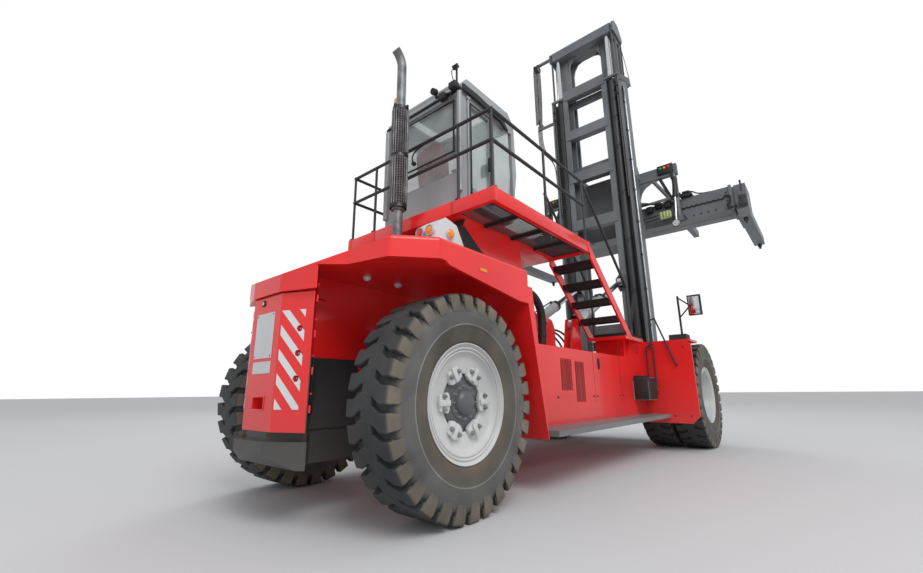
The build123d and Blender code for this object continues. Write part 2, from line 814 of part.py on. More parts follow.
# Cab: a hollow shell with window openings, standing on the deck
cab_x0 = rear_axle_x + cab_rear
cab_x1 = cab_x0 + cab_length
nose = 110
cab_outline = [
    (cab_x0, cab_low_z),
    (cab_x0, cab_top_z - 140),
    (cab_x0 + 110, cab_top_z),
    (cab_x1 - 60, cab_top_z),
    (cab_x1 + nose - 30, cab_top_z - 160),
    (cab_x1 + nose, cab_low_z + 800),
    (cab_x1 - 40, cab_low_z),
]
sill_z = cab_low_z + 330
head_z = cab_top_z - 320
door_x0 = cab_x0 + door_rear
door_x1 = door_x0 + door_width
hinge_radius = 12
hinge_x = door_x0 + gap + 16
hinge_y = -cab_half - 8
hinge_low_z = cab_low_z + 60
with BuildPart() as cab_shell:
    with BuildSketch(Plane.XZ) as side_view:
        with BuildLine():
            Polyline(*cab_outline, close=True)
        make_face()
    extrude(amount=cab_half, both=True)
    with BuildSketch(Plane.XZ) as room:
        with BuildLine():
            Polyline(*cab_outline, close=True)
        make_face()
        offset(amount=-cab_wall, kind=Kind.INTERSECTION)
    extrude(amount=cab_half - cab_wall, both=True, mode=Mode.SUBTRACT)
    block(
        (cab_x0 - 10, -cab_half + 90, sill_z + 60),
        (cab_x0 + cab_wall + 10, cab_half - 90, cab_top_z - 260),
        mode=Mode.SUBTRACT,
    )
    block(
        (cab_x1 - 60, -cab_half + 80, cab_low_z + 120),
        (cab_x1 + nose + 10, cab_half - 80, cab_top_z - 220),
        mode=Mode.SUBTRACT,
    )
    block(
        (cab_x0 + 110, cab_half - cab_wall - 10, sill_z),
        (cab_x1 + 10, cab_half + 10, head_z),
        mode=Mode.SUBTRACT,
    )
    block(
        (door_x1 + 60, -cab_half - 10, sill_z),
        (cab_x1 + 10, -cab_half + cab_wall + 10, head_z),
        mode=Mode.SUBTRACT,
    )
    block(
        (door_x0, -cab_half - 10, cab_low_z + 60),
        (door_x1, -cab_half + cab_wall + 10, head_z),
        mode=Mode.SUBTRACT,
    )
    block(
        (cab_x0 + 260, -cab_half + 160, cab_top_z - cab_wall - 10),
        (cab_x1 - 160, cab_half - 160, cab_top_z + 10),
        mode=Mode.SUBTRACT,
    )
    for side in (-1, 1):
        ys = sorted((side * 460, side * 620))
        block((cab_x0 + 60, ys[0], deck_top_z + seat), (cab_x1 - 120, ys[1], cab_low_z + 1))
    for low_z in (hinge_low_z - 40, head_z + 4):
        block((hinge_x - 34, hinge_y - 20, low_z), (hinge_x + 24, -cab_half + 1, low_z + 36))
        bar((hinge_x, hinge_y, low_z - 6), (hinge_x, hinge_y, low_z + 42), hinge_radius + seat, mode=Mode.SUBTRACT)
save(cab_shell, "cab_shell")

# Cab glass: a pane in each opening, clear of the frame by the named seat
pane_in = cab_wall / 2
with BuildPart() as cab_glass:
    block(
        (cab_x0 + pane_in, -cab_half + 90 + seat, sill_z + 60 + seat),
        (cab_x0 + pane_in + glass_thick, cab_half - 90 - seat, cab_top_z - 260 - seat),
    )
    slab_y(
        [
            (cab_x1 - 20 - pane_in + 24, cab_low_z + 120 + seat),
            (cab_x1 + nose - pane_in, cab_low_z + 800),
            (cab_x1 + nose - 30 - pane_in, cab_top_z - 220 - seat),
            (cab_x1 + nose - 30 - pane_in - glass_thick, cab_top_z - 220 - seat),
            (cab_x1 + nose - pane_in - glass_thick, cab_low_z + 800),
            (cab_x1 - 20 - pane_in + 24 - glass_thick, cab_low_z + 120 + seat),
        ],
        -cab_half + 80 + seat,
        cab_half - 80 - seat,
    )
    block(
        (cab_x0 + 110 + seat, cab_half - pane_in - glass_thick, sill_z + seat),
        (cab_x1 - 30, cab_half - pane_in, head_z - seat),
    )
    block(
        (door_x1 + 60 + seat, -cab_half + pane_in, sill_z + seat),
        (cab_x1 - 30, -cab_half + pane_in + glass_thick, head_z - seat),
    )
    block(
        (cab_x0 + 260 + seat, -cab_half + 160 + seat, cab_top_z - pane_in - glass_thick),
        (cab_x1 - 160 - seat, cab_half - 160 - seat, cab_top_z - pane_in),
    )
save(cab_glass, "cab_glass")

# Cab door on the right, with its pane, hinged at its rear edge
with BuildPart() as cab_door:
    block(
        (door_x0 + gap, -cab_half, cab_low_z + 60 + gap),
        (door_x1 - gap, -cab_half + cab_wall, head_z - gap),
    )
    block(
        (door_x0 + gap + 60, -cab_half - 1, cab_low_z + 150),
        (door_x1 - gap - 60, -cab_half + cab_wall + 1, head_z - gap - 60),
        mode=Mode.SUBTRACT,
    )
    bar((hinge_x, hinge_y, hinge_low_z - 34), (hinge_x, hinge_y, head_z + 34), hinge_radius)
save(cab_door, "cab_door")

with BuildPart() as door_glass:
    block(
        (door_x0 + gap + 60 + seat, -cab_half + pane_in, cab_low_z + 150 + seat),
        (door_x1 - gap - 60 - seat, -cab_half + pane_in + glass_thick, head_z - gap - 60 - seat),
    )
save(door_glass, "door_glass")

# Seat and console inside the cab
floor_z = cab_low_z + cab_wall + seat
with BuildPart() as seat_base:
    block((cab_x0 + 260, -220, floor_z), (cab_x0 + 600, 220, floor_z + 280))
save(seat_base, "seat_base")

with BuildPart() as operator_seat:
    slab_y(
        [
            (cab_x0 + 200, floor_z + 280 + seat),
            (cab_x0 + 700, floor_z + 280 + seat),
            (cab_x0 + 710, floor_z + 410),
            (cab_x0 + 330, floor_z + 400),
            (cab_x0 + 250, floor_z + 1060),
            (cab_x0 + 140, floor_z + 1060),
            (cab_x0 + 190, floor_z + 400),
        ],
        -240,
        240,
    )
    fillet(operator_seat.edges().filter_by(Axis.Y), 25)
save(operator_seat, "operator_seat")

with BuildPart() as console:
    slab_y(
        [
            (cab_x1 - 260, floor_z),
            (cab_x1 - 160, floor_z),
            (cab_x1 - 120, floor_z + 620),
            (cab_x1 - 270, floor_z + 640),
        ],
        -160,
        160,
    )
save(console, "console")

# Exhaust stack: silencer shield in two lengths and a bent outlet
stack_x = rear_axle_x + 400
stack_y = 60
stack_bend_z = 5380
with BuildPart() as exhaust_stack:
    bar((stack_x, stack_y, cover_top_z + seat), (stack_x, stack_y, stack_bend_z), 62)
    bar((stack_x, stack_y, 3250), (stack_x, stack_y, 3920), 84)
    bar((stack_x, stack_y, 3960), (stack_x, stack_y, 4660), 84)
    with BuildSketch(Plane.XY.offset(stack_bend_z)) as mouth:
        with Locations((stack_x, stack_y)):
            Circle(62)
    revolve(mouth.sketch, axis=Axis((stack_x - 260, stack_y, stack_bend_z), (0, -1, 0)), revolution_arc=58)
save(exhaust_stack, "exhaust_stack")

# Rear lamps: a sloping housing on each side of the cover with two round lamps behind and one outwards
lamp_y = 1250
lamp_x = rear_axle_x - 420
with BuildPart() as rear_lamps:
    for side in (-1, 1):
        slab_y(
            [
                (lamp_x, cover_top_z + seat),
                (lamp_x + 70, cover_top_z + 210),
                (lamp_x + 150, cover_top_z + 265),
                (lamp_x + 300, cover_top_z + 230),
                (lamp_x + 430, cover_top_z + seat),
            ],
            side * lamp_y - 120,
            side * lamp_y + 120,
        )
        for step in (-1, 1):
            bar(
                (lamp_x + 8, side * lamp_y + step * 58, cover_top_z + 120),
                (lamp_x + 60, side * lamp_y + step * 58, cover_top_z + 120),
                48,
            )
        bar(
            (lamp_x + 200, side * (lamp_y + 110), cover_top_z + 120),
            (lamp_x + 200, side * (lamp_y + 140), cover_top_z + 120),
            48,
        )
save(rear_lamps, "rear_lamps")

# Mirrors on posts at the front fenders
mirror_x = fender_x + 300
mirror_y = 1850
with BuildPart() as mirrors:
    for side in (-1, 1):
        base_ys = sorted((side * (mirror_y - 190), side * (mirror_y + 90)))
        slab_y(
            [
                (mirror_x - 170, fender_top_z + seat),
                (mirror_x - 140, fender_top_z + 110),
                (mirror_x + 120, fender_top_z + 110),
                (mirror_x + 170, fender_top_z + seat),
            ],
            base_ys[0],
            base_ys[1],
        )
        y = side * mirror_y
        bar((mirror_x, y, fender_top_z + 100), (mirror_x, y, fender_top_z + 820), 18)
        for z in (fender_top_z + 420, fender_top_z + 790):
            bar((mirror_x, y, z), (mirror_x, y + side * 190, fender_top_z + 620), 12)
        head_ys = sorted((y + side * 160, y + side * 370))
        block((mirror_x - 40, head_ys[0], fender_top_z + 440), (mirror_x + 40, head_ys[1], fender_top_z + 800))
save(mirrors, "mirrors")

# Outer mast: a channel on each side with a back pocket for the lift cylinder
outer_front = mast_x + 640
mid_flange = mast_x + 220
outer_in = 600
back_plate_in = 470
foot_top_z = pivot_z + 420
outer_bars = ((4900, 260), (6200, 260), (7440, 260), (8660, 280))
with BuildPart() as outer_mast:
    for side in (-1, 1):
        web_ys = sorted((side * (mast_half - web), side * mast_half))
        flange_ys = sorted((side * outer_in, side * mast_half))
        plate_ys = sorted((side * back_plate_in, side * (outer_in - 10)))
        link_ys = sorted((side * (outer_in - 40), side * (outer_in + 2)))
        block((mast_x, web_ys[0], mast_low_z), (outer_front, web_ys[1], mast_top_z))
        block((mid_flange, flange_ys[0], mast_low_z), (mid_flange + web, flange_ys[1], mast_top_z))
        block((outer_front - 70, flange_ys[0], mast_low_z), (outer_front, flange_ys[1], mast_top_z))
        block((mast_x, plate_ys[0], mast_low_z + 1500), (mast_x + web, plate_ys[1], mast_top_z))
        block((mast_x, link_ys[0], mast_low_z + 1500), (mid_flange + 1, link_ys[1], mast_top_z))
        foot_ys = sorted((side * 645, side * mast_half))
        slab_y(
            [
                (mast_x + 20, mast_low_z - 40),
                (mast_x + 20, foot_top_z),
                (mid_flange + 20, foot_top_z),
                (mid_flange + 20, mast_low_z - 40),
            ],
            foot_ys[0],
            foot_ys[1],
        )
        eye_ys = sorted((side * (tilt_y - 75), side * (tilt_y + 75)))
        slab_y(
            [
                (rear_axle_x + tilt_eye - 70, tilt_eye_z - 60),
                (rear_axle_x + tilt_eye - 70, tilt_eye_z + 60),
                (mast_x + 20, tilt_eye_z + 200),
                (mast_x + 20, tilt_eye_z - 200),
            ],
            eye_ys[0],
            eye_ys[1],
        )
        slot_ys = sorted((side * (tilt_y - 45), side * (tilt_y + 45)))
        block(
            (rear_axle_x + tilt_eye - 200, slot_ys[0], tilt_eye_z - 130),
            (rear_axle_x + tilt_eye + 112, slot_ys[1], tilt_eye_z + 130),
            mode=Mode.SUBTRACT,
        )
        bar(
            (rear_axle_x + tilt_eye, side * tilt_y - 74, tilt_eye_z),
            (rear_axle_x + tilt_eye, side * tilt_y + 74, tilt_eye_z),
            tilt_pin,
        )
    for low_z, height in outer_bars:
        block((mast_x - 20, -outer_in + 40, low_z), (mast_x + crossbar_depth - 30, outer_in - 40, low_z + height))
    block((mast_x - 20, -mast_half, mast_top_z - 60), (mast_x + 40, mast_half, mast_top_z))
    block((mast_x + 20, mast_half - 20, 8150), (mast_x + 80, mast_half + 480, 8210))
    block((mast_x + 20, mast_half + 330, 8209), (mast_x + 80, mast_half + 480, 8290))
    block((mid_flange + 40, -mast_half, mast_low_z - 40), (outer_front, mast_half, mast_low_z + 60))
    for side in (-1, 1):
        slot_ys = sorted((side * (chain_y - chain_thick / 2 - 10), side * (chain_y + chain_thick / 2 + 10)))
        block((mast_x + 8, slot_ys[0], mast_top_z - 61), (mast_x + 41, slot_ys[1], mast_top_z + 1), mode=Mode.SUBTRACT)
        bar(
            (pivot_x, side * 600, pivot_z),
            (pivot_x, side * (mast_half + 1), pivot_z),
            pivot_pin + 1,
            mode=Mode.SUBTRACT,
        )
save(outer_mast, "outer_mast")

# Lift cylinders: a bored barrel in each back pocket, with its rod on the inner mast
lift_x = mast_x + 120
lift_foot_z = foot_top_z + seat
lift_top_z = mast_top_z - 70
rod_low_z = 5100
with BuildPart() as lift_cylinders:
    for side in (-1, 1):
        bar((lift_x, side * rod_y, lift_foot_z), (lift_x, side * rod_y, lift_top_z), lift_barrel_radius)
        bar(
            (lift_x, side * rod_y, rod_low_z - 1700),
            (lift_x, side * rod_y, lift_top_z + 1),
            lift_rod_radius + seat,
            mode=Mode.SUBTRACT,
        )
save(lift_cylinders, "lift_cylinders")

# Inner mast: an I section on each side, nested in the outer channels
inner_back = mid_flange + web + 12
inner_front = outer_front - 70 - 12
inner_flange = 50
inner_in = 440
head_low_z = inner_top_z - 200
sheave_z = inner_top_z - 50
chain_deep = 50
chain_back = mast_x + 45
chain_front = outer_front + 45
sheave_x = (chain_back + chain_front) / 2
sheave_radius = (chain_front - chain_back - chain_deep) / 2 - seat
inner_bars = (2300, 4200, 6500, 8500)
hose_y = 1340
with BuildPart() as inner_mast:
    for side in (-1, 1):
        flange_ys = sorted((side * inner_in, side * (mast_half - web - 15)))
        web_ys = sorted((side * 640, side * 680))
        block((inner_back, flange_ys[0], inner_low_z), (inner_back + inner_flange, flange_ys[1], head_low_z + 1))
        block((inner_front - inner_flange, flange_ys[0], inner_low_z), (inner_front, flange_ys[1], head_low_z + 1))
        block((inner_back, web_ys[0], inner_low_z), (inner_front, web_ys[1], head_low_z + 1))
        for y_in in (chain_y - chain_thick / 2 - 46, chain_y + chain_thick / 2 + 12):
            cheek_ys = sorted((side * y_in, side * (y_in + 34)))
            slab_y(
                [
                    (mast_x, head_low_z),
                    (mast_x, inner_top_z + 60),
                    (mast_x + 160, inner_top_z + 200),
                    (mast_x + 420, inner_top_z + 200),
                    (outer_front + 40, sheave_z - 40),
                    (outer_front - 30, head_low_z - 40),
                    (mast_x + 300, head_low_z),
                ],
                cheek_ys[0],
                cheek_ys[1],
            )
        bar(
            (sheave_x, side * (chain_y - chain_thick / 2 - 30), sheave_z),
            (sheave_x, side * (chain_y + chain_thick / 2 + 30), sheave_z),
            45,
        )
        sheave_ys = (side * (chain_y - chain_thick / 2), side * (chain_y + chain_thick / 2))
        bar((sheave_x, sheave_ys[0], sheave_z), (sheave_x, sheave_ys[1], sheave_z), sheave_radius)
    block((mast_x + 20, mast_half - 40, sheave_z - 20), (mast_x + 90, hose_y + 60, sheave_z + 40))
    bar((mast_x + 55, hose_y - 45, sheave_z - 90), (mast_x + 55, hose_y + 45, sheave_z - 90), 95)
    for low_z in inner_bars:
        block((inner_back, -inner_in - 1, low_z), (inner_back + inner_flange - 4, inner_in + 1, low_z + 220))
    block((mast_x, -800, head_low_z), (inner_front, 800, inner_top_z + 60))
save(inner_mast, "inner_mast")

with BuildPart() as lift_rods:
    for side in (-1, 1):
        bar((lift_x, side * rod_y, rod_low_z), (lift_x, side * rod_y, head_low_z - seat), lift_rod_radius)
save(lift_rods, "lift_rods")

# Lift chains: a back strand that runs down its pocket and a front strand down to the carriage
strand_end_z = 5450
lug_top_z = carriage_top_z
with BuildPart() as chains_back:
    for side in (-1, 1):
        ys = sorted((side * (chain_y - chain_thick / 2), side * (chain_y + chain_thick / 2)))
        block((chain_back - chain_deep / 2, ys[0], strand_end_z), (chain_back + chain_deep / 2, ys[1], sheave_z))
save(chains_back, "lift_chains_back")

with BuildPart() as chains_front:
    for side in (-1, 1):
        ys = sorted((side * (chain_y - chain_thick / 2), side * (chain_y + chain_thick / 2)))
        block((chain_front - chain_deep / 2, ys[0], lug_top_z + seat), (chain_front + chain_deep / 2, ys[1], sheave_z))
save(chains_front, "lift_chains_front")

# Carriage: two roller plates in the inner rails, joined by two crossbeams in front
carriage_x = chain_front + chain_deep / 2 + 40
carriage_deep = 120
roller_radius = (inner_front - inner_back) / 2 - inner_flange - 6
roller_x = (inner_front + inner_back) / 2
with BuildPart() as carriage:
    for side in (-1, 1):
        plate_ys = sorted((side * (inner_in - 60), side * (inner_in - 10)))
        block((roller_x - 90, plate_ys[0], carriage_low_z), (carriage_x + 1, plate_ys[1], carriage_top_z - 50))
        for z in (carriage_low_z + 200, carriage_top_z - 300):
            bar((roller_x, side * (inner_in - 20), z), (roller_x, side * 630, z), roller_radius)
        lug_ys = sorted((side * (chain_y - 60), side * (chain_y + 60)))
        block((chain_front - 40, lug_ys[0], lug_top_z - 220), (carriage_x + 1, lug_ys[1], lug_top_z))
    for low_z in (carriage_low_z + 60, carriage_top_z - 300):
        block((carriage_x, -900, low_z), (carriage_x + carriage_deep, 900, low_z + 250))
    block((carriage_x, -440, carriage_low_z + 100), (carriage_x + 60, 440, carriage_top_z - 100))
save(carriage, "carriage")

# Spreader: a hanger frame and a main beam of two tubes
hanger_x = carriage_x + carriage_deep + gap
beam_gap = 20
beam_x1 = beam_rear + 2 * beam_tube + beam_gap
beam_high_z = beam_low_z + beam_height
hang_y = 1660
with BuildPart() as spreader_beam:
    for step in range(2):
        x0 = beam_rear + rear_axle_x + step * (beam_tube + beam_gap)
        block((x0, -beam_half, beam_low_z), (x0 + beam_tube, beam_half, beam_high_z))
        block(
            (x0 + beam_wall, -beam_half - 1, beam_low_z + beam_wall),
            (x0 + beam_tube - beam_wall, beam_half + 1, beam_high_z - beam_wall),
            mode=Mode.SUBTRACT,
        )
    tie_x0 = rear_axle_x + beam_rear + beam_tube - 1
    block((tie_x0, -900, beam_low_z), (tie_x0 + beam_gap + 2, 900, beam_high_z))
    block((hanger_x, -750, beam_low_z + 40), (rear_axle_x + beam_rear + 1, 750, carriage_top_z - 60))
    for side in (-1, 1):
        pad_ys = sorted((side * 560, side * 700))
        for low_z in (carriage_low_z + 110, carriage_top_z - 250):
            block((hanger_x - gap + seat, pad_ys[0], low_z), (hanger_x + 1, pad_ys[1], low_z + 150))
        arm_ys = sorted((side * 700, side * (hang_y + 90)))
        block((hanger_x, arm_ys[0], carriage_top_z - 400), (hanger_x + 110, arm_ys[1], carriage_top_z - 120))
        guide_ys = sorted((side * (hang_y - 60), side * (hang_y + 60)))
        block(
            (rear_axle_x + beam_x1 - 1, guide_ys[0], beam_low_z + 60),
            (rear_axle_x + beam_x1 + 950, guide_ys[1], beam_low_z + 220),
        )
        bar(
            (hanger_x + 55, side * hang_y, beam_low_z + 100),
            (hanger_x + 55, side * hang_y, carriage_top_z - 390),
            62,
        )
        foot_ys = sorted((side * (hang_y - 90), side * (hang_y + 90)))
        block((hanger_x, foot_ys[0], beam_low_z + 20), (rear_axle_x + beam_rear + 1, foot_ys[1], beam_low_z + 140))
save(spreader_beam, "spreader_beam")

# Telescopic end frames: an arm in its own tube, a long beam and its twistlocks
arm_play = 8
arm_inner = 2200
end_x0 = rear_axle_x + lock_rear - 120
end_x1 = rear_axle_x + lock_front + 80
for name, side in SIDES:
    tube_x0 = rear_axle_x + beam_rear + (0 if side < 0 else beam_tube + beam_gap)
    with BuildPart() as end_frame:
        arm_ys = sorted((-side * arm_inner, side * (frame_half - 100)))
        block(
            (tube_x0 + beam_wall + arm_play, arm_ys[0], beam_low_z + beam_wall + arm_play),
            (tube_x0 + beam_tube - beam_wall - arm_play, arm_ys[1], beam_high_z - beam_wall - arm_play),
        )
        for y in (side * (beam_half - 260), -side * (arm_inner - 120)):
            block(
                (tube_x0 + beam_wall + arm_play, y - 100, beam_low_z + beam_wall + seat),
                (tube_x0 + beam_tube - beam_wall - arm_play, y + 100, beam_low_z + beam_wall + arm_play + 1),
            )
        head_ys = sorted((side * (beam_half + 40), side * (frame_half - 20)))
        block((rear_axle_x + beam_rear, head_ys[0], end_low_z), (rear_axle_x + beam_x1, head_ys[1], beam_high_z - 10))
        beam_ys = sorted((side * (frame_half - 220), side * frame_half))
        block((end_x0, beam_ys[0], end_low_z), (end_x1, beam_ys[1], end_low_z + end_height))
    save(end_frame, f"end_frame_{name}")

    with BuildPart() as twistlocks:
        for x in (lock_rear, lock_front):
            bar((rear_axle_x + x, side * lock_half, end_low_z - 60), (rear_axle_x + x, side * lock_half, end_low_z - seat), 45)
            block(
                (rear_axle_x + x - 38, side * lock_half - 24, end_low_z - 110),
                (rear_axle_x + x + 38, side * lock_half + 24, end_low_z - 60),
            )
    save(twistlocks, f"twistlocks_{name}")

# Tilt cylinders: a bored barrel from a frame bracket and a rod to the mast's eye
tilt_run = Vector(tilt_eye - tilt_rear, 0, tilt_eye_z - tilt_rear_z)
tilt_way = tilt_run.normalized()
barrel_length = 1500
for name, side in SIDES:
    pin = Vector(rear_axle_x + tilt_rear, side * tilt_y, tilt_rear_z)
    eye = Vector(rear_axle_x + tilt_eye, side * tilt_y, tilt_eye_z)
    with BuildPart() as tilt_barrel:
        bar(tuple(pin + tilt_way * 80), tuple(pin + tilt_way * 270), 38)
        bar(tuple(pin + tilt_way * 260), tuple(pin + tilt_way * barrel_length), tilt_radius)
        bar(tuple(pin + tilt_way * 700), tuple(pin + tilt_way * (barrel_length + 1)), tilt_rod_radius + seat, mode=Mode.SUBTRACT)
        bar((pin.X, pin.Y - 40, pin.Z), (pin.X, pin.Y + 40, pin.Z), 90)
        bar((pin.X, pin.Y - 41, pin.Z), (pin.X, pin.Y + 41, pin.Z), tilt_pin + seat, mode=Mode.SUBTRACT)
    save(tilt_barrel, f"tilt_barrel_{name}")

    with BuildPart() as tilt_rod:
        bar(tuple(pin + tilt_way * 1180), tuple(eye - tilt_way * 250), tilt_rod_radius)
        bar(tuple(eye - tilt_way * 260), tuple(eye - tilt_way * 80), 38)
        bar((eye.X, eye.Y - 40, eye.Z), (eye.X, eye.Y + 40, eye.Z), 90)
        bar((eye.X, eye.Y - 41, eye.Z), (eye.X, eye.Y + 41, eye.Z), tilt_pin + eye_play, mode=Mode.SUBTRACT)
    save(tilt_rod, f"tilt_rod_{name}")

with BuildPart() as tilt_brackets:
    for side in (-1, 1):
        for y in (side * tilt_y - 60, side * tilt_y + 60):
            slab_y(
                [
                    (rear_axle_x + tilt_rear - 260, side_top_z + seat),
                    (rear_axle_x + tilt_rear + 200, side_top_z + seat),
                    (rear_axle_x + tilt_rear + 100, tilt_rear_z + 90),
                    (rear_axle_x + tilt_rear - 100, tilt_rear_z + 90),
                ],
                y - 15,
                y + 15,
            )
        pin_y = side * tilt_y
        pin_x = rear_axle_x + tilt_rear
        bar((pin_x, pin_y - 75, tilt_rear_z), (pin_x, pin_y + 75, tilt_rear_z), tilt_pin)
save(tilt_brackets, "tilt_brackets")
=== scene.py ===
import bpy
import math
from mathutils import Matrix, Vector


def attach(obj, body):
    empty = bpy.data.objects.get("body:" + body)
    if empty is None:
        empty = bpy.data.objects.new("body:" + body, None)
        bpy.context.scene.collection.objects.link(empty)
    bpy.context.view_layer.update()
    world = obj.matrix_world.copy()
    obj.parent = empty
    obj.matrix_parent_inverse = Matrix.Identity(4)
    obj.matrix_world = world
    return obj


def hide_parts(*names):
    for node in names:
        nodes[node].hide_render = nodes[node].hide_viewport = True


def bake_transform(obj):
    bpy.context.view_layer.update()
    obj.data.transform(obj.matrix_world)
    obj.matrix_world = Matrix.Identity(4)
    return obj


# Heavy forklift truck with a container spreader, in metres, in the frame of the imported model.

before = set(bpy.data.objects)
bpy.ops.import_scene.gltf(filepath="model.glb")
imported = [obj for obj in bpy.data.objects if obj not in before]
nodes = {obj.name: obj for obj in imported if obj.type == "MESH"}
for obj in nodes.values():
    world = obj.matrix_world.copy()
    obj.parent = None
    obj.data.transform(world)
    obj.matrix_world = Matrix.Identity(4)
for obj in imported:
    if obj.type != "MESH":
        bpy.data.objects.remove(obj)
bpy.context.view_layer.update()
bpy.ops.object.select_all(action="DESELECT")
scene = bpy.context.scene
scene.view_settings.view_transform = "Standard"


# Camera at the photograph's place: low behind the right rear wheel, looking up along the truck
def add_camera():
    """A wide lens one metre above the ground, turned and pitched up, with a slight roll."""
    place = Matrix.Translation((-7.255, -3.778, 1.023))
    yaw = Matrix.Rotation(math.radians(40.23 - 90), 4, "Z")
    pitch = Matrix.Rotation(math.radians(13.89 + 90), 4, "X")
    roll = Matrix.Rotation(math.radians(-0.5), 4, "Z")
    data = bpy.data.cameras.new("camera")
    data.lens = 16.64
    data.sensor_width = 36
    data.clip_end = 500
    camera = bpy.data.objects.new("camera", data)
    camera.matrix_world = place @ yaw @ pitch @ roll
    scene.collection.objects.link(camera)
    scene.camera = camera


def add_node(tree, kind, values=None, **settings):
    """A shader node with its settings, and the flat values of its inputs."""
    node = tree.nodes.new("ShaderNode" + kind)
    for setting, value in settings.items():
        setattr(node, setting, value)
    for socket, value in (values or {}).items():
        node.inputs[socket].default_value = value
    return node


def wire(source, out, target, into):
    """A link from one node's output to another node's input."""
    source.id_data.links.new(source.outputs[out], target.inputs[into])


def new_material(name, color, rough, metal_share=0.0):
    """A principled material with its flat values set on the shader."""
    material = bpy.data.materials.new(name)
    material.use_nodes = True
    shader = material.node_tree.nodes["Principled BSDF"]
    shader.inputs["Base Color"].default_value = (*color, 1)
    shader.inputs["Roughness"].default_value = rough
    shader.inputs["Metallic"].default_value = metal_share
    return material, material.node_tree, shader


def add_stage():
    """Pale floor and an even pale sky, plain white where the camera sees it."""
    bpy.ops.mesh.primitive_plane_add(size=400, location=(0, 0, 0))
    floor = bpy.context.object
    floor.name = "floor"
    floor.data.materials.append(new_material("pale floor", (0.62, 0.62, 0.63), 0.9)[0])
    world = bpy.data.worlds.new("pale sky")
    world.use_nodes = True
    tree = world.node_tree
    sky = tree.nodes["Background"]
    sky.inputs["Color"].default_value = (0.86, 0.88, 0.9, 1)
    sky.inputs["Strength"].default_value = 0.8
    white = add_node(tree, "Background", {"Color": (1, 1, 1, 1)})
    choice = add_node(tree, "MixShader")
    wire(add_node(tree, "LightPath"), "Is Camera Ray", choice, "Fac")
    wire(sky, "Background", choice, 1)
    wire(white, "Background", choice, 2)
    wire(choice, "Shader", tree.nodes["World Output"], "Surface")
    scene.world = world


def add_lights():
    """Two wide soft lamps, high on the camera's side and from behind."""
    table = (
        ("key", (-9, -12, 14), 9, 1500),
        ("back", (12, 14, 16), 10, 900),
    )
    for name, place, size, power in table:
        bpy.ops.object.light_add(type="AREA", location=place)
        lamp = bpy.context.object
        lamp.name = name
        lamp.data.size = size
        lamp.data.energy = power
        aim = Vector((0, 0, 3)) - Vector(place)
        lamp.rotation_euler = aim.to_track_quat("-Z", "Y").to_euler()


add_camera()
add_stage()
add_lights()


# Materials: each a small node tree on object coordinates
def noise_on_object(tree, scale, detail):
    """Noise read at object coordinates."""
    noise = add_node(tree, "TexNoise", {"Scale": scale, "Detail": detail})
    wire(add_node(tree, "TexCoord"), "Object", noise, "Vector")
    return noise


def two_tones(pattern, low, high, stops=(0.35, 0.65)):
    """A colour ramp between two colours, over a pattern's factor."""
    ramp = add_node(pattern.id_data, "ValToRGB")
    for element, stop, color in zip(ramp.color_ramp.elements, stops, (low, high)):
        element.position = stop
        element.color = (*color, 1)
    wire(pattern, "Fac", ramp, "Fac")
    return ramp


def relief(pattern, shader, strength, distance):
    """Fine relief on the shader's normal, from a pattern's factor."""
    bump = add_node(pattern.id_data, "Bump", {"Strength": strength, "Distance": distance})
    wire(pattern, "Fac", bump, "Height")
    wire(bump, "Normal", shader, "Normal")


def paint(name, dark, light, rough, coat=0.0, dirt=0.0):
    """Sprayed paint: slow colour drift, fine orange peel, and dust near the ground."""
    dust = (0.3, 0.27, 0.24, 1)
    dust_foot, dust_top = 0.3, 1.3
    material, tree, shader = new_material(name, light, rough)
    color = two_tones(noise_on_object(tree, 0.9, 3), dark, light)
    if dirt > 0:
        split = add_node(tree, "SeparateXYZ")
        wire(add_node(tree, "TexCoord"), "Object", split, "Vector")
        fade = {"From Min": dust_foot, "From Max": dust_top, "To Min": dirt, "To Max": 0}
        height = add_node(tree, "MapRange", fade)
        wire(split, "Z", height, "Value")
        mix = add_node(tree, "Mix", {"B": dust}, data_type="RGBA")
        wire(height, "Result", mix, "Factor")
        wire(color, "Color", mix, "A")
        wire(mix, "Result", shader, "Base Color")
    else:
        wire(color, "Color", shader, "Base Color")
    shader.inputs["Coat Weight"].default_value = coat
    shader.inputs["Coat Roughness"].default_value = 0.08
    relief(noise_on_object(tree, 160, 2), shader, 0.04, 0.002)
    return material


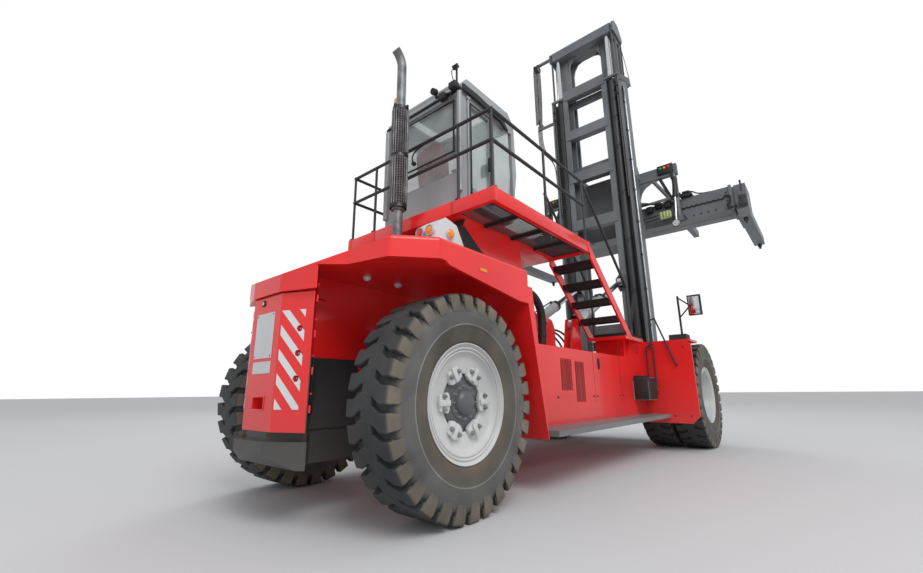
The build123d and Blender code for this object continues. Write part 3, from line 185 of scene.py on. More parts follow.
def rubber():
    """Tyre rubber: grey treads, brown dust on the lugs' flanks and by the rim, a pale line round the wall."""
    material, tree, shader = new_material("tyre rubber", (0.03, 0.03, 0.03), 0.8)
    split = add_node(tree, "SeparateXYZ")
    wire(add_node(tree, "UVMap", uv_map="around"), "UV", split, "Vector")
    bands = add_node(tree, "ValToRGB")
    stops = (
        (0.5, (0.12, 0.098, 0.075)),
        (0.6, (0.1, 0.088, 0.073)),
        (0.655, (0.098, 0.092, 0.083)),
        (0.664, (0.26, 0.25, 0.23)),
        (0.673, (0.115, 0.115, 0.113)),
        (0.78, (0.118, 0.118, 0.117)),
        (0.83, (0.165, 0.145, 0.115)),
        (0.915, (0.17, 0.148, 0.115)),
        (0.932, (0.06, 0.062, 0.064)),
    )
    ramp = bands.color_ramp
    while len(ramp.elements) < len(stops):
        ramp.elements.new(0.5)
    for element, (stop, color) in zip(ramp.elements, stops):
        element.position = stop
        element.color = (*color, 1)
    wire(split, "X", bands, "Fac")
    inner = add_node(tree, "Math", operation="ABSOLUTE")
    wire(split, "Y", inner, 0)
    tread = add_node(tree, "MapRange", {"From Min": 0.215, "From Max": 0.228})
    wire(inner, "Value", tread, "Value")
    wall = add_node(tree, "Math", {1: 0.8}, operation="LESS_THAN")
    wire(split, "X", wall, 0)
    either = add_node(tree, "Math", operation="MAXIMUM")
    wire(wall, "Value", either, 0)
    wire(tread, "Result", either, 1)
    mix = add_node(tree, "Mix", {"A": (0.05, 0.052, 0.054, 1)}, data_type="RGBA")
    wire(either, "Value", mix, "Factor")
    wire(bands, "Color", mix, "B")
    patch = noise_on_object(tree, 2.6, 6)
    tones = two_tones(patch, (0.62, 0.62, 0.62), (1.25, 1.22, 1.18), (0.3, 0.7))
    worn = add_node(tree, "Mix", {"Factor": 1}, data_type="RGBA", blend_type="MULTIPLY")
    wire(mix, "Result", worn, "A")
    wire(tones, "Color", worn, "B")
    wire(worn, "Result", shader, "Base Color")
    relief(noise_on_object(tree, 90, 4), shader, 0.25, 0.004)
    return material


def clear_glass():
    """Tinted safety glass."""
    material, tree, shader = new_material("cab glass", (0.55, 0.62, 0.62), 0.03)
    shader.inputs["Alpha"].default_value = 0.34
    color = two_tones(noise_on_object(tree, 3, 2), (0.42, 0.5, 0.5), (0.6, 0.66, 0.66))
    wire(color, "Color", shader, "Base Color")
    return material


def metal(name, dark, light, rough, grain_scale=40, metal_share=1.0):
    """Bare or bright metal with a drifting tone."""
    material, tree, shader = new_material(name, light, rough, metal_share)
    color = two_tones(noise_on_object(tree, grain_scale, 3), dark, light)
    wire(color, "Color", shader, "Base Color")
    return material


def link_steel():
    """Leaf chain: bright plates and dark gaps that alternate along its run."""
    material, tree, shader = new_material("chain links", (0.2, 0.2, 0.2), 0.4, 0.8)
    wave = add_node(tree, "TexWave", {"Scale": 7}, wave_type="BANDS", bands_direction="Z")
    wire(add_node(tree, "TexCoord"), "Object", wave, "Vector")
    color = two_tones(wave, (0.015, 0.015, 0.015), (0.3, 0.3, 0.29), (0.25, 0.5))
    wire(color, "Color", shader, "Base Color")
    relief(wave, shader, 0.8, 0.02)
    return material


def seat_cloth():
    """Woven cloth in a dull red."""
    material, tree, shader = new_material("seat cloth", (0.35, 0.02, 0.02), 0.9)
    weave = noise_on_object(tree, 220, 2)
    color = two_tones(weave, (0.22, 0.012, 0.015), (0.5, 0.03, 0.03))
    wire(color, "Color", shader, "Base Color")
    relief(weave, shader, 0.3, 0.002)
    return material


red_paint = paint("signal red paint", (0.78, 0.012, 0.012), (0.9, 0.02, 0.018), 0.32, 0.35, 0.12)
mast_paint = paint("mast grey paint", (0.11, 0.12, 0.13), (0.165, 0.18, 0.19), 0.4)
cab_paint = paint("cab grey paint", (0.28, 0.295, 0.305), (0.38, 0.4, 0.41), 0.33, 0.25)
dark_paint = paint("chassis dark paint", (0.02, 0.022, 0.024), (0.035, 0.037, 0.04), 0.5, 0, 0.25)
board_paint = paint("board grey paint", (0.16, 0.165, 0.17), (0.22, 0.225, 0.23), 0.5)
rim_paint = paint("rim silver paint", (0.46, 0.46, 0.46), (0.62, 0.62, 0.61), 0.38)
stack_steel = metal("stack steel", (0.13, 0.135, 0.14), (0.26, 0.265, 0.27), 0.5, 8, 0.5)
hub_grey = paint("hub grey", (0.05, 0.052, 0.058), (0.1, 0.104, 0.112), 0.42, 0.15)
nut_grey = paint("nut grey", (0.1, 0.1, 0.1), (0.3, 0.3, 0.3), 0.45)
black_plastic = paint("black fitting", (0.012, 0.012, 0.012), (0.022, 0.022, 0.022), 0.6)
tyre_rubber = rubber()
glass = clear_glass()
chrome = metal("rod chrome", (0.62, 0.63, 0.64), (0.8, 0.8, 0.8), 0.12)
barrel_silver = metal("barrel silver", (0.5, 0.51, 0.52), (0.66, 0.67, 0.68), 0.3, 12, 0.6)
chain_steel = metal("chain steel", (0.03, 0.03, 0.03), (0.12, 0.115, 0.11), 0.45, 60)
chain_links = link_steel()
cloth = seat_cloth()
stripe_white = paint("reflective white", (0.62, 0.64, 0.66), (0.78, 0.79, 0.8), 0.35, 0.2)
plate_grey = paint("blank plate grey", (0.55, 0.57, 0.58), (0.66, 0.67, 0.68), 0.4)
lens_red = paint("red lens", (0.45, 0.005, 0.004), (0.6, 0.012, 0.008), 0.12, 0.6)
lens_green = paint("green lens", (0.0, 0.25, 0.06), (0.0, 0.35, 0.1), 0.12, 0.6)
lamp_yellow = paint("lamp housing yellow", (0.55, 0.62, 0.25), (0.72, 0.78, 0.4), 0.4, 0.2)
lens_amber = paint("amber lens", (0.8, 0.2, 0.005), (0.9, 0.28, 0.01), 0.12, 0.6)

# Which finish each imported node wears
worn_by = (
    (red_paint, "frame rear_body rear_cover tower deck_frame stringers fenders landings tilt_brackets"),
    (dark_paint, "counterweight steer_axle drive_axle knuckle_right knuckle_left engine_block"),
    (dark_paint, "handrails lift_cylinders"),
    (stack_steel, "exhaust_stack"),
    (black_plastic, "gratings stair_treads mirrors seat_base console"),
    (plate_grey, "rear_lamps"),
    (cab_paint, "cab_shell cab_door"),
    (glass, "cab_glass door_glass"),
    (cloth, "operator_seat"),
    (board_paint, "running_boards"),
    (mast_paint, "outer_mast inner_mast carriage spreader_beam end_frame_right end_frame_left"),
    (chrome, "lift_rods tilt_rod_right tilt_rod_left"),
    (barrel_silver, "tilt_barrel_right tilt_barrel_left"),
    (chain_links, "lift_chains_back lift_chains_front"),
    (chain_steel, "twistlocks_right twistlocks_left"),
    (tyre_rubber, "rear_tyre_right rear_tyre_left front_tyres_right front_tyres_left"),
    (rim_paint, "rear_rim_right rear_rim_left front_rims_right front_rims_left"),
)
for finish, names in worn_by:
    for name in names.split():
        nodes[name].data.materials.clear()
        nodes[name].data.materials.append(finish)


# Shaping tools: each starts from a primitive and works in edit mode, as by hand
weld_gap = 0.0002


def clear():
    """Nothing selected, so that the next operator acts on its own piece only."""
    bpy.ops.object.select_all(action="DESELECT")


def take(piece):
    """The piece alone selected and in hand."""
    clear()
    piece.select_set(True)
    bpy.context.view_layer.objects.active = piece


def use(modifier_type, **settings):
    """A modifier added to the piece in hand and applied at once."""
    modifier = bpy.context.object.modifiers.new(modifier_type.lower(), modifier_type)
    for setting, value in settings.items():
        setattr(modifier, setting, value)
    bpy.ops.object.modifier_apply(modifier=modifier.name)


def soften(width, segments=2):
    """A small round on the sharp edges of the piece in hand."""
    sharp = math.radians(30)
    use("BEVEL", width=width, segments=segments, limit_method="ANGLE", angle_limit=sharp)


def shade(angle):
    """Smooth shading across the shallow edges of the piece in hand."""
    bpy.ops.object.shade_smooth_by_angle(angle=math.radians(angle))


def trace(points):
    """A chain of vertices extruded from point to point, left in edit mode."""
    clear()
    bpy.ops.mesh.primitive_plane_add(size=0.01)
    bpy.ops.object.mode_set(mode="EDIT")
    bpy.ops.mesh.merge(type="CENTER")
    bpy.ops.transform.translate(value=points[0])
    for start, end in zip(points, points[1:]):
        step = tuple(b - a for a, b in zip(start, end))
        bpy.ops.mesh.extrude_region_move(TRANSFORM_OT_translate={"value": step})


def close_mesh():
    """Doubles merged and faces turned outwards; back to object mode."""
    bpy.ops.mesh.select_all(action="SELECT")
    bpy.ops.mesh.remove_doubles(threshold=weld_gap)
    bpy.ops.mesh.normals_make_consistent(inside=False)
    bpy.ops.object.mode_set(mode="OBJECT")
    return bpy.context.object


def turned(profile, steps, axis=(0, 1, 0)):
    """A closed profile of (radius, place along the axis) pairs, spun once round."""
    if axis[1]:
        points = [(radius, along, 0) for radius, along in profile]
    elif axis[2]:
        points = [(radius, 0, along) for radius, along in profile]
    else:
        points = [(along, radius, 0) for radius, along in profile]
    trace(points + [points[0]])
    bpy.ops.mesh.select_all(action="SELECT")
    bpy.ops.mesh.spin(steps=steps, angle=math.tau, center=(0, 0, 0), axis=axis)
    return close_mesh()


def prism(outline, depth):
    """A closed outline of points, filled and extruded along depth."""
    trace(list(outline) + [outline[0]])
    bpy.ops.mesh.select_all(action="SELECT")
    bpy.ops.mesh.remove_doubles(threshold=weld_gap)
    bpy.ops.mesh.edge_face_add()
    bpy.ops.mesh.extrude_region_move(TRANSFORM_OT_translate={"value": depth})
    return close_mesh()


def sheet_x(x, outline, depth):
    """A sheet that faces along x: an outline of (y, z) pairs at x, as thick as depth."""
    return prism([(x, y, z) for y, z in outline], (depth, 0, 0))


def sheet_y(y, outline, depth):
    """A sheet that faces along y: an outline of (x, z) pairs at y, as thick as depth."""
    return prism([(x, y, z) for x, z in outline], (0, depth, 0))


def block(low, high, round_width=0.0):
    """A box between two corners, its edges rounded."""
    clear()
    centre = [(a + b) / 2 for a, b in zip(low, high)]
    size = [b - a for a, b in zip(low, high)]
    bpy.ops.mesh.primitive_cube_add(size=1, location=centre)
    bpy.context.object.scale = size
    bpy.ops.object.transform_apply()
    if round_width:
        soften(round_width)
    return bpy.context.object


def side_block(side, low, high, round_width):
    """A block between two corners given for the left side, put on the side that is asked for."""
    ys = sorted((side * low[1], side * high[1]))
    return block((low[0], ys[0], low[2]), (high[0], ys[1], high[2]), round_width)


def rod(start, end, radius, vertices):
    """A round bar from start to end."""
    clear()
    run = Vector(end) - Vector(start)
    bpy.ops.mesh.primitive_cone_add(
        vertices=vertices,
        radius1=radius,
        radius2=radius,
        depth=run.length,
        location=(Vector(start) + Vector(end)) / 2,
        rotation=run.to_track_quat("Z", "Y").to_euler(),
    )
    bpy.ops.object.transform_apply()
    return bpy.context.object


def peg(x_start, x_end, y, z, radius, vertices):
    """A round bar along x."""
    return rod((x_start, y, z), (x_end, y, z), radius, vertices)


def pipe(points, radius, sides):
    """A hose or bent tube along points, from a curve turned into a mesh."""
    data = bpy.data.curves.new("run", "CURVE")
    data.dimensions = "3D"
    data.bevel_depth = radius
    data.bevel_resolution = sides
    data.use_fill_caps = True
    data.resolution_u = 6
    spline = data.splines.new("NURBS")
    spline.points.add(len(points) - 1)
    for point, place in zip(spline.points, points):
        point.co = (*place, 1)
    spline.order_u = 3
    spline.use_endpoint_u = True
    obj = bpy.data.objects.new("run", data)
    scene.collection.objects.link(obj)
    take(obj)
    bpy.ops.object.convert(target="MESH")
    return bpy.context.object


def at(x, y, z, turn=0.0, axis="Y"):
    """Where a copy goes: turned in degrees about an axis through the origin, then moved."""
    return Matrix.Translation((x, y, z)) @ Matrix.Rotation(math.radians(turn), 4, axis)


def put(piece, *place):
    """The piece moved to its place, given as at() takes it."""
    piece.data.transform(at(*place))
    return piece


def copies(piece, places):
    """The piece repeated at each place, every copy with its own mesh."""
    made = []
    for place in places:
        twin = bpy.data.objects.new(piece.name, piece.data.copy())
        twin.data.transform(place)
        if place.determinant() < 0:
            twin.data.flip_normals()
        scene.collection.objects.link(twin)
        made.append(twin)
    bpy.data.objects.remove(piece)
    return made


def joined(parts):
    """Several shapes made one piece."""
    clear()
    for part in parts:
        part.select_set(True)
    bpy.context.view_layer.objects.active = parts[0]
    if len(parts) > 1:
        bpy.ops.object.join()
    return bpy.context.object


def mirrored(parts):
    """The same parts on the other side of the truck as well."""
    return copies(joined(parts), [Matrix.Identity(4), Matrix.Scale(-1, 4, (0, 1, 0))])


def dress(piece, name, material, angle):
    """The piece in hand named, given its finish and shaded."""
    piece.name = name
    piece.data.materials.clear()
    piece.data.materials.append(material)
    shade(angle)
    return piece


def fit(name, parts, body, material, angle, stands_for=()):
    """A finished piece: shapes joined, dressed and riding on a body."""
    piece = dress(joined(parts), name, material, angle)
    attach(piece, body)
    if stands_for:
        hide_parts(*stands_for)


both_sides = (("right", -1), ("left", 1))
x_axis, z_axis = (1, 0, 0), (0, 0, 1)
rear_x = -4.35
front_x = 1.97
hub_z = 0.937
rear_y = 1.19
twin_ys = (1.21, 1.77)


# Tyres: a turned carcass with cranked lugs; radius is kept in the UV map for the dust and the rings
def lug(row):
    """One lug: a cranked block from past the middle, over the shoulder and down the flank."""
    wide = 0.066
    lean = 0.024
    outline = [
        (-lean - wide, 0.226), (-lean + wide, 0.226), (-lean + wide, 0.15), (lean + wide, 0.075),
        (lean + wide, -0.012), (lean - wide, -0.012), (lean - wide, 0.075), (-lean - wide, 0.15),
    ]
    tread = prism([(x, row * y, 0.86) for x, y in outline], (0, 0, 0.0735))
    soften(0.007, 1)
    flank_low = 0.775
    side = [
        (0.19, 0.79), (0.2, 0.928), (0.226, 0.9305), (0.2385, 0.9), (0.2405, 0.83), (0.236, flank_low),
        (0.21, flank_low),
    ]
    shoulder = sheet_x(-lean - wide + 0.004, [(row * y, z) for y, z in side], 2 * wide - 0.008)
    for corner in shoulder.data.vertices:
        if corner.co.z < 0.8:
            corner.co.x = -lean + (corner.co.x + lean) * 0.72
    soften(0.006, 1)
    return joined([tread, shoulder])


def radius_map(piece):
    """UV map whose U is the distance from the axle and whose V is the place along it."""
    while piece.data.uv_layers:
        piece.data.uv_layers.remove(piece.data.uv_layers[0])
    layer = piece.data.uv_layers.new(name="around")
    for loop in piece.data.loops:
        place = piece.data.vertices[loop.vertex_index].co
        layer.data[loop.index].uv = (math.hypot(place.x, place.z), place.y)


def tyre_shape():
    """A whole tyre about the origin."""
    lug_count = 30
    pitch = 360 / lug_count
    half = [
        (0.484, 0.175), (0.50, 0.19), (0.52, 0.212), (0.56, 0.224), (0.62, 0.236), (0.655, 0.24),
        (0.66, 0.2435), (0.668, 0.2435), (0.673, 0.24), (0.72, 0.241), (0.765, 0.237), (0.80, 0.23),
        (0.845, 0.217), (0.875, 0.196), (0.89, 0.15), (0.893, 0.066), (0.926, 0.06), (0.931, 0.052),
    ]
    parts = [turned(half + [(0.932, 0.0)] + [(r, -y) for r, y in reversed(half)], 72)]
    for row, phase in ((-1, 0), (1, pitch / 2)):
        parts += copies(lug(row), [at(0, 0, 0, step * pitch + phase) for step in range(lug_count)])
    piece = joined(parts)
    radius_map(piece)
    return piece


tyre_master = tyre_shape()
wheel_sets = (
    ("rear_tyre_tread", "rear_tyre", "rear_wheel", rear_x, (rear_y,)),
    ("front_tyre_treads", "front_tyres", "front_wheels", front_x, twin_ys),
)
for name, side in both_sides:
    for kind, node, body, x, ys in wheel_sets:
        places = [at(x, side * y, hub_z, 0 if side < 0 else 180, "Z") for y in ys]
        tyres = copies(bpy.data.objects.new("tyre", tyre_master.data), places)
        fit(f"{kind}_{name}", tyres, f"{body}_{name}", tyre_rubber, 30, [f"{node}_{name}"])
bpy.data.objects.remove(tyre_master)


# Rims: multi-piece rings, a disc with wedge clamps, and a dark hub with its round cap
def rim_rings(disc, hub_edge):
    """The turned rim with its disc set at a distance out from the wheel's middle."""
    profile = [
        (0.44, -0.19), (0.497, -0.205), (0.503, -0.2), (0.486, -0.17), (0.472, -0.15), (0.472, 0.165),
        (0.484, 0.178), (0.497, 0.19), (0.506, 0.203), (0.503, 0.2105), (0.494, 0.209), (0.484, 0.196),
        (0.474, 0.184), (0.469, 0.184), (0.466, 0.194), (0.457, 0.197), (0.45, 0.19), (0.447, 0.178),
        (0.442, 0.178), (0.439, 0.186), (0.43, 0.188), (0.424, 0.178), (0.415, disc + 0.03),
        (0.4, disc + 0.012), (0.37, disc), (hub_edge + 0.02, disc - 0.002), (hub_edge, disc - 0.012),
        (hub_edge, disc - 0.035), (0.39, disc - 0.03), (0.425, disc - 0.01),
    ]
    return turned([(r, -y) for r, y in profile], 64)


def clamp(out, reach, width):
    """A rim clamp: a rounded wedge with a bridge across it."""
    low, high, slope = reach - 0.06, reach + 0.045, 0.02
    outline = [
        (-width / 2, low), (-width / 2 + slope, high), (width / 2 - slope, high), (width / 2, low),
        (width / 4, low - 0.016), (-width / 4, low - 0.016),
    ]
    wedge = sheet_y(-out + 0.012, outline, -0.04)
    soften(0.009, 2)
    bridge = block((-0.024, -out - 0.045, low - 0.01), (0.024, -out - 0.02, reach + 0.06), 0.006)
    return joined([wedge, bridge])


def nut(x, out, z, size=0.017):
    """A hexagon nut with a washer and the stud's end."""
    parts = []
    for inner, outer, radius, vertices in ((0.004, 0.004, 1.35, 14), (0, 0.024, 1, 6), (0, 0.036, 0.55, 8)):
        parts.append(rod((x, -out + inner, z), (x, -out - outer, z), size * radius, vertices))
    return joined(parts)


def hub_cap(out, flange):
    """The dark hub plate with a domed cap."""
    profile = [
        (0.0001, out + 0.075), (0.035, out + 0.073), (0.065, out + 0.065), (0.09, out + 0.05),
        (0.105, out + 0.028), (0.11, out + 0.006), (0.128, out + 0.004), (0.15, out + 0.002),
        (0.154, out - 0.006), (flange - 0.03, out - 0.014), (flange, out - 0.03), (flange, out - 0.09),
        (0.0001, out - 0.09),
    ]
    return turned([(r, -y) for r, y in profile], 48)


def place_wheel(parts, x, y, side):
    """Wheel pieces moved from the origin to their hub, turned outwards on the left."""
    return [put(joined(parts), x, y, hub_z, 0 if side < 0 else 180, "Z")]


def around(piece, count, start=0.0):
    """Copies of a piece turned round the axle."""
    return copies(piece, [at(0, 0, 0, start + step * 360 / count) for step in range(count)])


rear_disc = 0.135
front_disc = -0.115
for name, side in both_sides:
    body = f"rear_wheel_{name}"
    hub = (rear_x, side * rear_y, side)
    rings = [rim_rings(rear_disc, 0.245)] + around(clamp(rear_disc, 0.27, 0.17), 6, 30)
    fit(f"rear_rim_rings_{name}", place_wheel(rings, *hub), body, rim_paint, 40, [f"rear_rim_{name}"])
    fit(f"rear_hub_{name}", place_wheel([hub_cap(rear_disc, 0.24)], *hub), body, hub_grey, 40)
    nuts = []
    for x in (-0.052, 0.052):
        nuts += around(nut(x, rear_disc + 0.026, 0.268), 6, 30)
    nuts += around(nut(0, rear_disc + 0.002, 0.136, 0.0075), 12)
    fit(f"rear_wheel_nuts_{name}", place_wheel(nuts, *hub), body, nut_grey, 40)

    body = f"front_wheels_{name}"
    hub = (front_x, side * twin_ys[1], side)
    shells = place_wheel([rim_rings(front_disc, 0.205)], *hub)
    shells += place_wheel([rim_rings(front_disc, 0.205)], front_x, side * twin_ys[0], -side)
    fit(f"front_rim_rings_{name}", shells, body, rim_paint, 40, [f"front_rims_{name}"])
    cap = place_wheel([hub_cap(front_disc + 0.06, 0.2)], *hub)
    drum = rod((front_x, side * 1.08, hub_z), (front_x, side * 1.72, hub_z), 0.19, 40)
    fit(f"front_hub_{name}", cap + [drum], body, hub_grey, 40)
    nuts = place_wheel(around(nut(0, front_disc + 0.004, 0.25, 0.018), 16), *hub)
    fit(f"front_wheel_nuts_{name}", nuts, body, nut_grey, 40)

# Rear panel: blank plates, slanted warning stripes and bolts in its holes
panel_x = -5.5
hole_y = -0.445
hole_heights = (1.14, 1.347, 1.553)


def stripe(outline):
    """One stripe on the right panel, cut from 3 mm sheet; the outline holds distance out and height."""
    flat, sweep, proud = 0.25, 0.419, 0.0005
    points = [(panel_x - proud + max(0.0, out - flat) * sweep, -out, z) for out, z in outline]
    return prism(points, (-0.0028, -0.0012, 0))


stripes = [
    stripe([(0.27, 0.982), (0.27, 0.896), (0.341, 0.896)]),
    stripe([(0.27, 1.185), (0.27, 1.1), (0.437, 0.896), (0.49, 0.896), (0.49, 0.921)]),
    stripe([(0.336, 1.715), (0.27, 1.715), (0.27, 1.709), (0.49, 1.445), (0.49, 1.53)]),
    stripe([(0.434, 1.715), (0.49, 1.648), (0.49, 1.715)]),
]
for top in (1.388, 1.591):
    stripes.append(stripe([(0.27, top), (0.27, top - 0.085), (0.49, top - 0.349), (0.49, top - 0.264)]))
sheet = joined(stripes)
for z in hole_heights:
    punch = peg(-5.6, -5.3, hole_y, z, 0.027, 24)
    take(sheet)
    use("BOOLEAN", object=punch, operation="DIFFERENCE")
    bpy.data.objects.remove(punch)
fit("rear_warning_stripes", mirrored([sheet]), "truck", stripe_white, 20)
bolts = [peg(-5.412, -5.385, hole_y, z, 0.0125, 6) for z in hole_heights]
fit("rear_panel_bolts", mirrored(bolts), "truck", nut_grey, 30)
# Dark plugs round the bolts in the panel's holes: painted shade that fills the holes.
hole_shades = [peg(-5.402, -5.35, hole_y, z, 0.0252, 24) for z in hole_heights]
fit("rear_panel_hole_shades", mirrored(hole_shades), "truck", black_plastic, 30)
plates = [
    block((-5.506, -0.155, 1.322), (-5.4995, 0.165, 1.722), 0.002),
    block((-5.504, -0.155, 1.192), (-5.4995, 0.163, 1.294), 0.001),
]
fit("rear_blank_plates", plates, "truck", plate_grey, 20)
fit("rear_camera_ring", [peg(-5.497, -5.508, 0.07, 1.82, 0.03, 24)], "truck", black_plastic, 30)
fit("rear_camera_lens", [peg(-5.505, -5.511, 0.07, 1.82, 0.016, 20)], "truck", chrome, 30)

# Dark sheet low in each wheel well, painted shade on the well's wall, with the hoses that hang in front of it
well_low, well_high = 0.7205, 1.335
shade_sheet_reach, hose_reach = 1.1, 1.078
kingpin_y = -1.0


def in_well(degrees, reach, z):
    """A point in the right wheel well, at an angle and a distance from the kingpin."""
    angle = math.radians(degrees)
    return (rear_x + reach * math.cos(angle), kingpin_y + reach * math.sin(angle), z)


well_angles = [156.5 - step * 2.4 for step in range(9)]
# A thin dark sheet along the well's wall: painted shade where the well is dark.
well_shade_sheet = prism(
    [in_well(angle, shade_sheet_reach + 0.008, well_low) for angle in well_angles]
    + [(-4.67, -0.2415, well_low), (-4.67, -0.25, well_low)]
    + [in_well(angle, shade_sheet_reach, well_low) for angle in reversed(well_angles)],
    (0, 0, well_high - well_low),
)
fit("well_shade_sheets", mirrored([well_shade_sheet]), "truck", dark_paint, 30)
hang = []
hung_from = 1.3
for radius, start, low in ((0.014, 154, 0.9), (0.011, 152, 0.98), (0.011, 149, 0.84)):
    heights = [low + (hung_from - low) * ((step - 3) / 3) ** 2 for step in range(7)]
    run = [in_well(start - step * 2.2, hose_reach, z) for step, z in enumerate(heights)]
    hang.append(pipe(run, radius, 2))
fit("well_hoses", mirrored(hang), "truck", black_plastic, 50)
rivets = [peg(-5.509, -5.5, y, z, 0.006, 10) for y in (-0.14, 0.15) for z in (1.34, 1.704)]
fit("rear_plate_rivets", rivets, "truck", chain_steel, 30)
slot_edges = (
    ((-0.112, 0.883), (0.112, 0.897)), ((-0.112, 0.993), (0.112, 1.007)),
    ((-0.112, 0.89), (-0.098, 1.0)), ((0.098, 0.89), (0.112, 1.0)),
)
lip = [block((-5.506, *low), (-5.499, *high), 0.003) for low, high in slot_edges]
fit("tie_slot_rim", lip, "truck", red_paint, 30)
hinge_line = []
for z in (0.9, 1.2, 1.5, 1.8):
    hinge_line.append(block((-5.362, -0.592, z - 0.03), (-5.352, -0.572, z + 0.03), 0.003))
    hinge_line.append(rod((-5.36, -0.596, z + 0.12), (-5.36, -0.585, z + 0.12), 0.008, 8))
fit("panel_hinges", mirrored(hinge_line), "truck", red_paint, 30)

# Rear lamps: lenses on the housings, side marker reflectors and work lamps under the cover
lamp_z = 2.4
lens_round = [(0.0001, 0.016), (0.02, 0.0145), (0.036, 0.008), (0.04, 0.0), (0.0001, 0.0)]
ring_round = [(0.04, -0.012), (0.05, -0.012), (0.051, 0.006), (0.047, 0.009), (0.041, 0.007)]
side_round = [(0.0001, 0.014), (0.025, 0.012), (0.042, 0.004), (0.044, 0.0), (0.0001, 0.0)]
eye_round = [(0.0001, -0.034), (0.022, -0.03), (0.036, -0.014), (0.04, 0.0), (0.0001, 0.0)]
lamp_y, lamp_gap = -1.25, 0.058
lamp_ys = (lamp_y - lamp_gap, lamp_y + lamp_gap)
amber_lens, red_lens = [put(turned(lens_round, 28, x_axis), -4.762, y, lamp_z, 180, "Z") for y in lamp_ys]
rings = [put(turned(ring_round, 28, x_axis), -4.764, y, lamp_z, 180, "Z") for y in lamp_ys]
side_lens = put(turned(side_round, 28), -4.57, -1.391, lamp_z, 180, "Z")
fit("rear_lenses_red", mirrored([red_lens]), "truck", lens_red, 40)
fit("rear_lenses_amber", mirrored([amber_lens, side_lens]), "truck", lens_amber, 40)
fit("rear_lamp_rings", mirrored(rings), "truck", barrel_silver, 40)
marker = block((-4.3, -1.507, 2.088), (-4.2, -1.499, 2.122), 0.003)
fit("side_markers", mirrored([marker]), "truck", lens_amber, 30)
eyes = [put(turned(eye_round, 24, z_axis), x, y, 2.084) for x, y in ((-4.85, -0.574), (-4.47, -0.581))]
fit("well_lamps", mirrored(eyes), "truck", rim_paint, 40)

# Exhaust: two lengths of perforated shield round the stack, with liners and clamps
stack = (-3.95, 0.06)


def shield(low, high):
    """A tube of mesh: a cylinder cut into cells whose edges are left as wires."""
    clear()
    bpy.ops.mesh.primitive_cylinder_add(
        vertices=20, radius=0.108, depth=high - low, location=(*stack, (low + high) / 2),
        end_fill_type="NOTHING",
    )
    bpy.ops.object.transform_apply()
    bpy.ops.object.mode_set(mode="EDIT")
    rows = round((high - low) / 0.036)
    for row in range(1, rows):
        bpy.ops.mesh.select_all(action="SELECT")
        bpy.ops.mesh.bisect(plane_co=(0, 0, low + row * (high - low) / rows), plane_no=(0, 0, 1))
    bpy.ops.object.mode_set(mode="OBJECT")
    use("WIREFRAME", thickness=0.015)
    return bpy.context.object


def band(z):
    """A clamp band with its bolt lug."""
    x, y = stack
    inner, outer, half = 0.1, 0.11, 0.025
    profile = [(inner, -half), (outer, -half), (outer, half), (inner, half)]
    ring = put(turned(profile, 32, z_axis), x, y, z)
    ear = block((x - 0.012, y - inner - 0.045, z - half), (x + 0.012, y - inner, z + half), 0.003)
    return joined([ring, ear])


fit("exhaust_shields", [shield(3.32, 3.98), shield(4.02, 4.68)], "truck", stack_steel, 30)
liners = [rod((*stack, low), (*stack, high), 0.098, 32) for low, high in ((3.325, 3.975), (4.025, 4.675))]
fit("exhaust_liners", liners, "truck", black_plastic, 40)
fit("exhaust_clamps", [band(z) for z in (3.3, 4.0, 4.7)], "truck", chain_steel, 30)

# Deck gratings and stair treads: black mesh in each bay
deck_low, deck_top = 3.03, 3.2


def grating(low, high, cell):
    """A flat grid whose cell edges are left as bars."""
    clear()
    wide = [b - a for a, b in zip(low[:2], high[:2])]
    columns, rows = [max(2, round(side / cell)) for side in wide]
    bpy.ops.mesh.primitive_grid_add(x_subdivisions=columns, y_subdivisions=rows, size=1)
    bpy.context.object.scale = (*wide, 1)
    bpy.context.object.location = [(a + b) / 2 for a, b in zip(low, high)]
    bpy.ops.object.transform_apply()
    use("WIREFRAME", thickness=0.012, use_even_offset=True)
    return bpy.context.object


def islands(name):
    """The boxes of a node's separate solids, read from its loose parts."""
    twin = bpy.data.objects.new("parts", nodes[name].data.copy())
    twin.matrix_world = nodes[name].matrix_world
    scene.collection.objects.link(twin)
    take(twin)
    bpy.ops.object.mode_set(mode="EDIT")
    bpy.ops.mesh.select_all(action="SELECT")
    bpy.ops.mesh.remove_doubles(threshold=0.0001)
    bpy.ops.mesh.separate(type="LOOSE")
    bpy.ops.object.mode_set(mode="OBJECT")
    boxes = []
    for part in list(bpy.context.selected_objects):
        places = list(zip(*(part.matrix_world @ Vector(corner) for corner in part.bound_box)))
        boxes.append([[pick(values) for values in places] for pick in (min, max)])
        bpy.data.objects.remove(part)
    return boxes


meshes, crossbars = [], []
bar_low, bar_high = deck_low + 0.012, deck_low + 0.06
for (x0, y0, _), (x1, y1, _) in islands("gratings"):
    meshes.append(grating((x0 - 0.03, y0, deck_low + 0.03), (x1 + 0.03, y1, bar_high), 0.036))
    crossbars.append(block((x0 - 0.045, y0, bar_low), (x0 - 0.005, y1, deck_low + 0.075), 0.004))
    for y in (y0, y1 - 0.03):
        crossbars.append(block((x0 - 0.04, y, bar_low), (x1 + 0.04, y + 0.03, bar_high)))
fit("deck_mesh", meshes, "truck", black_plastic, 20, ["gratings"])
fit("deck_crossbars", crossbars, "truck", black_plastic, 20)
deck = [block((-3.79, -0.72, deck_low), (-1.35, 0.72, deck_top), 0.006)]
bays = (((-3.79, 1.255), (-1.35, 1.32)), ((-3.79, 0.7), (-3.735, 1.3)), ((-1.405, 0.7), (-1.35, 1.3)))
for _, side in both_sides:
    for low, high in bays:
        deck.append(side_block(side, (*low, deck_low), (*high, deck_top), 0.006))
for _, side in both_sides:
    for x in (-3.795, -1.41):
        corner = (x, 1.25, deck_low - 0.002)
        deck.append(side_block(side, corner, (x + 0.065, 1.326, deck_top + 0.003), 0.008))
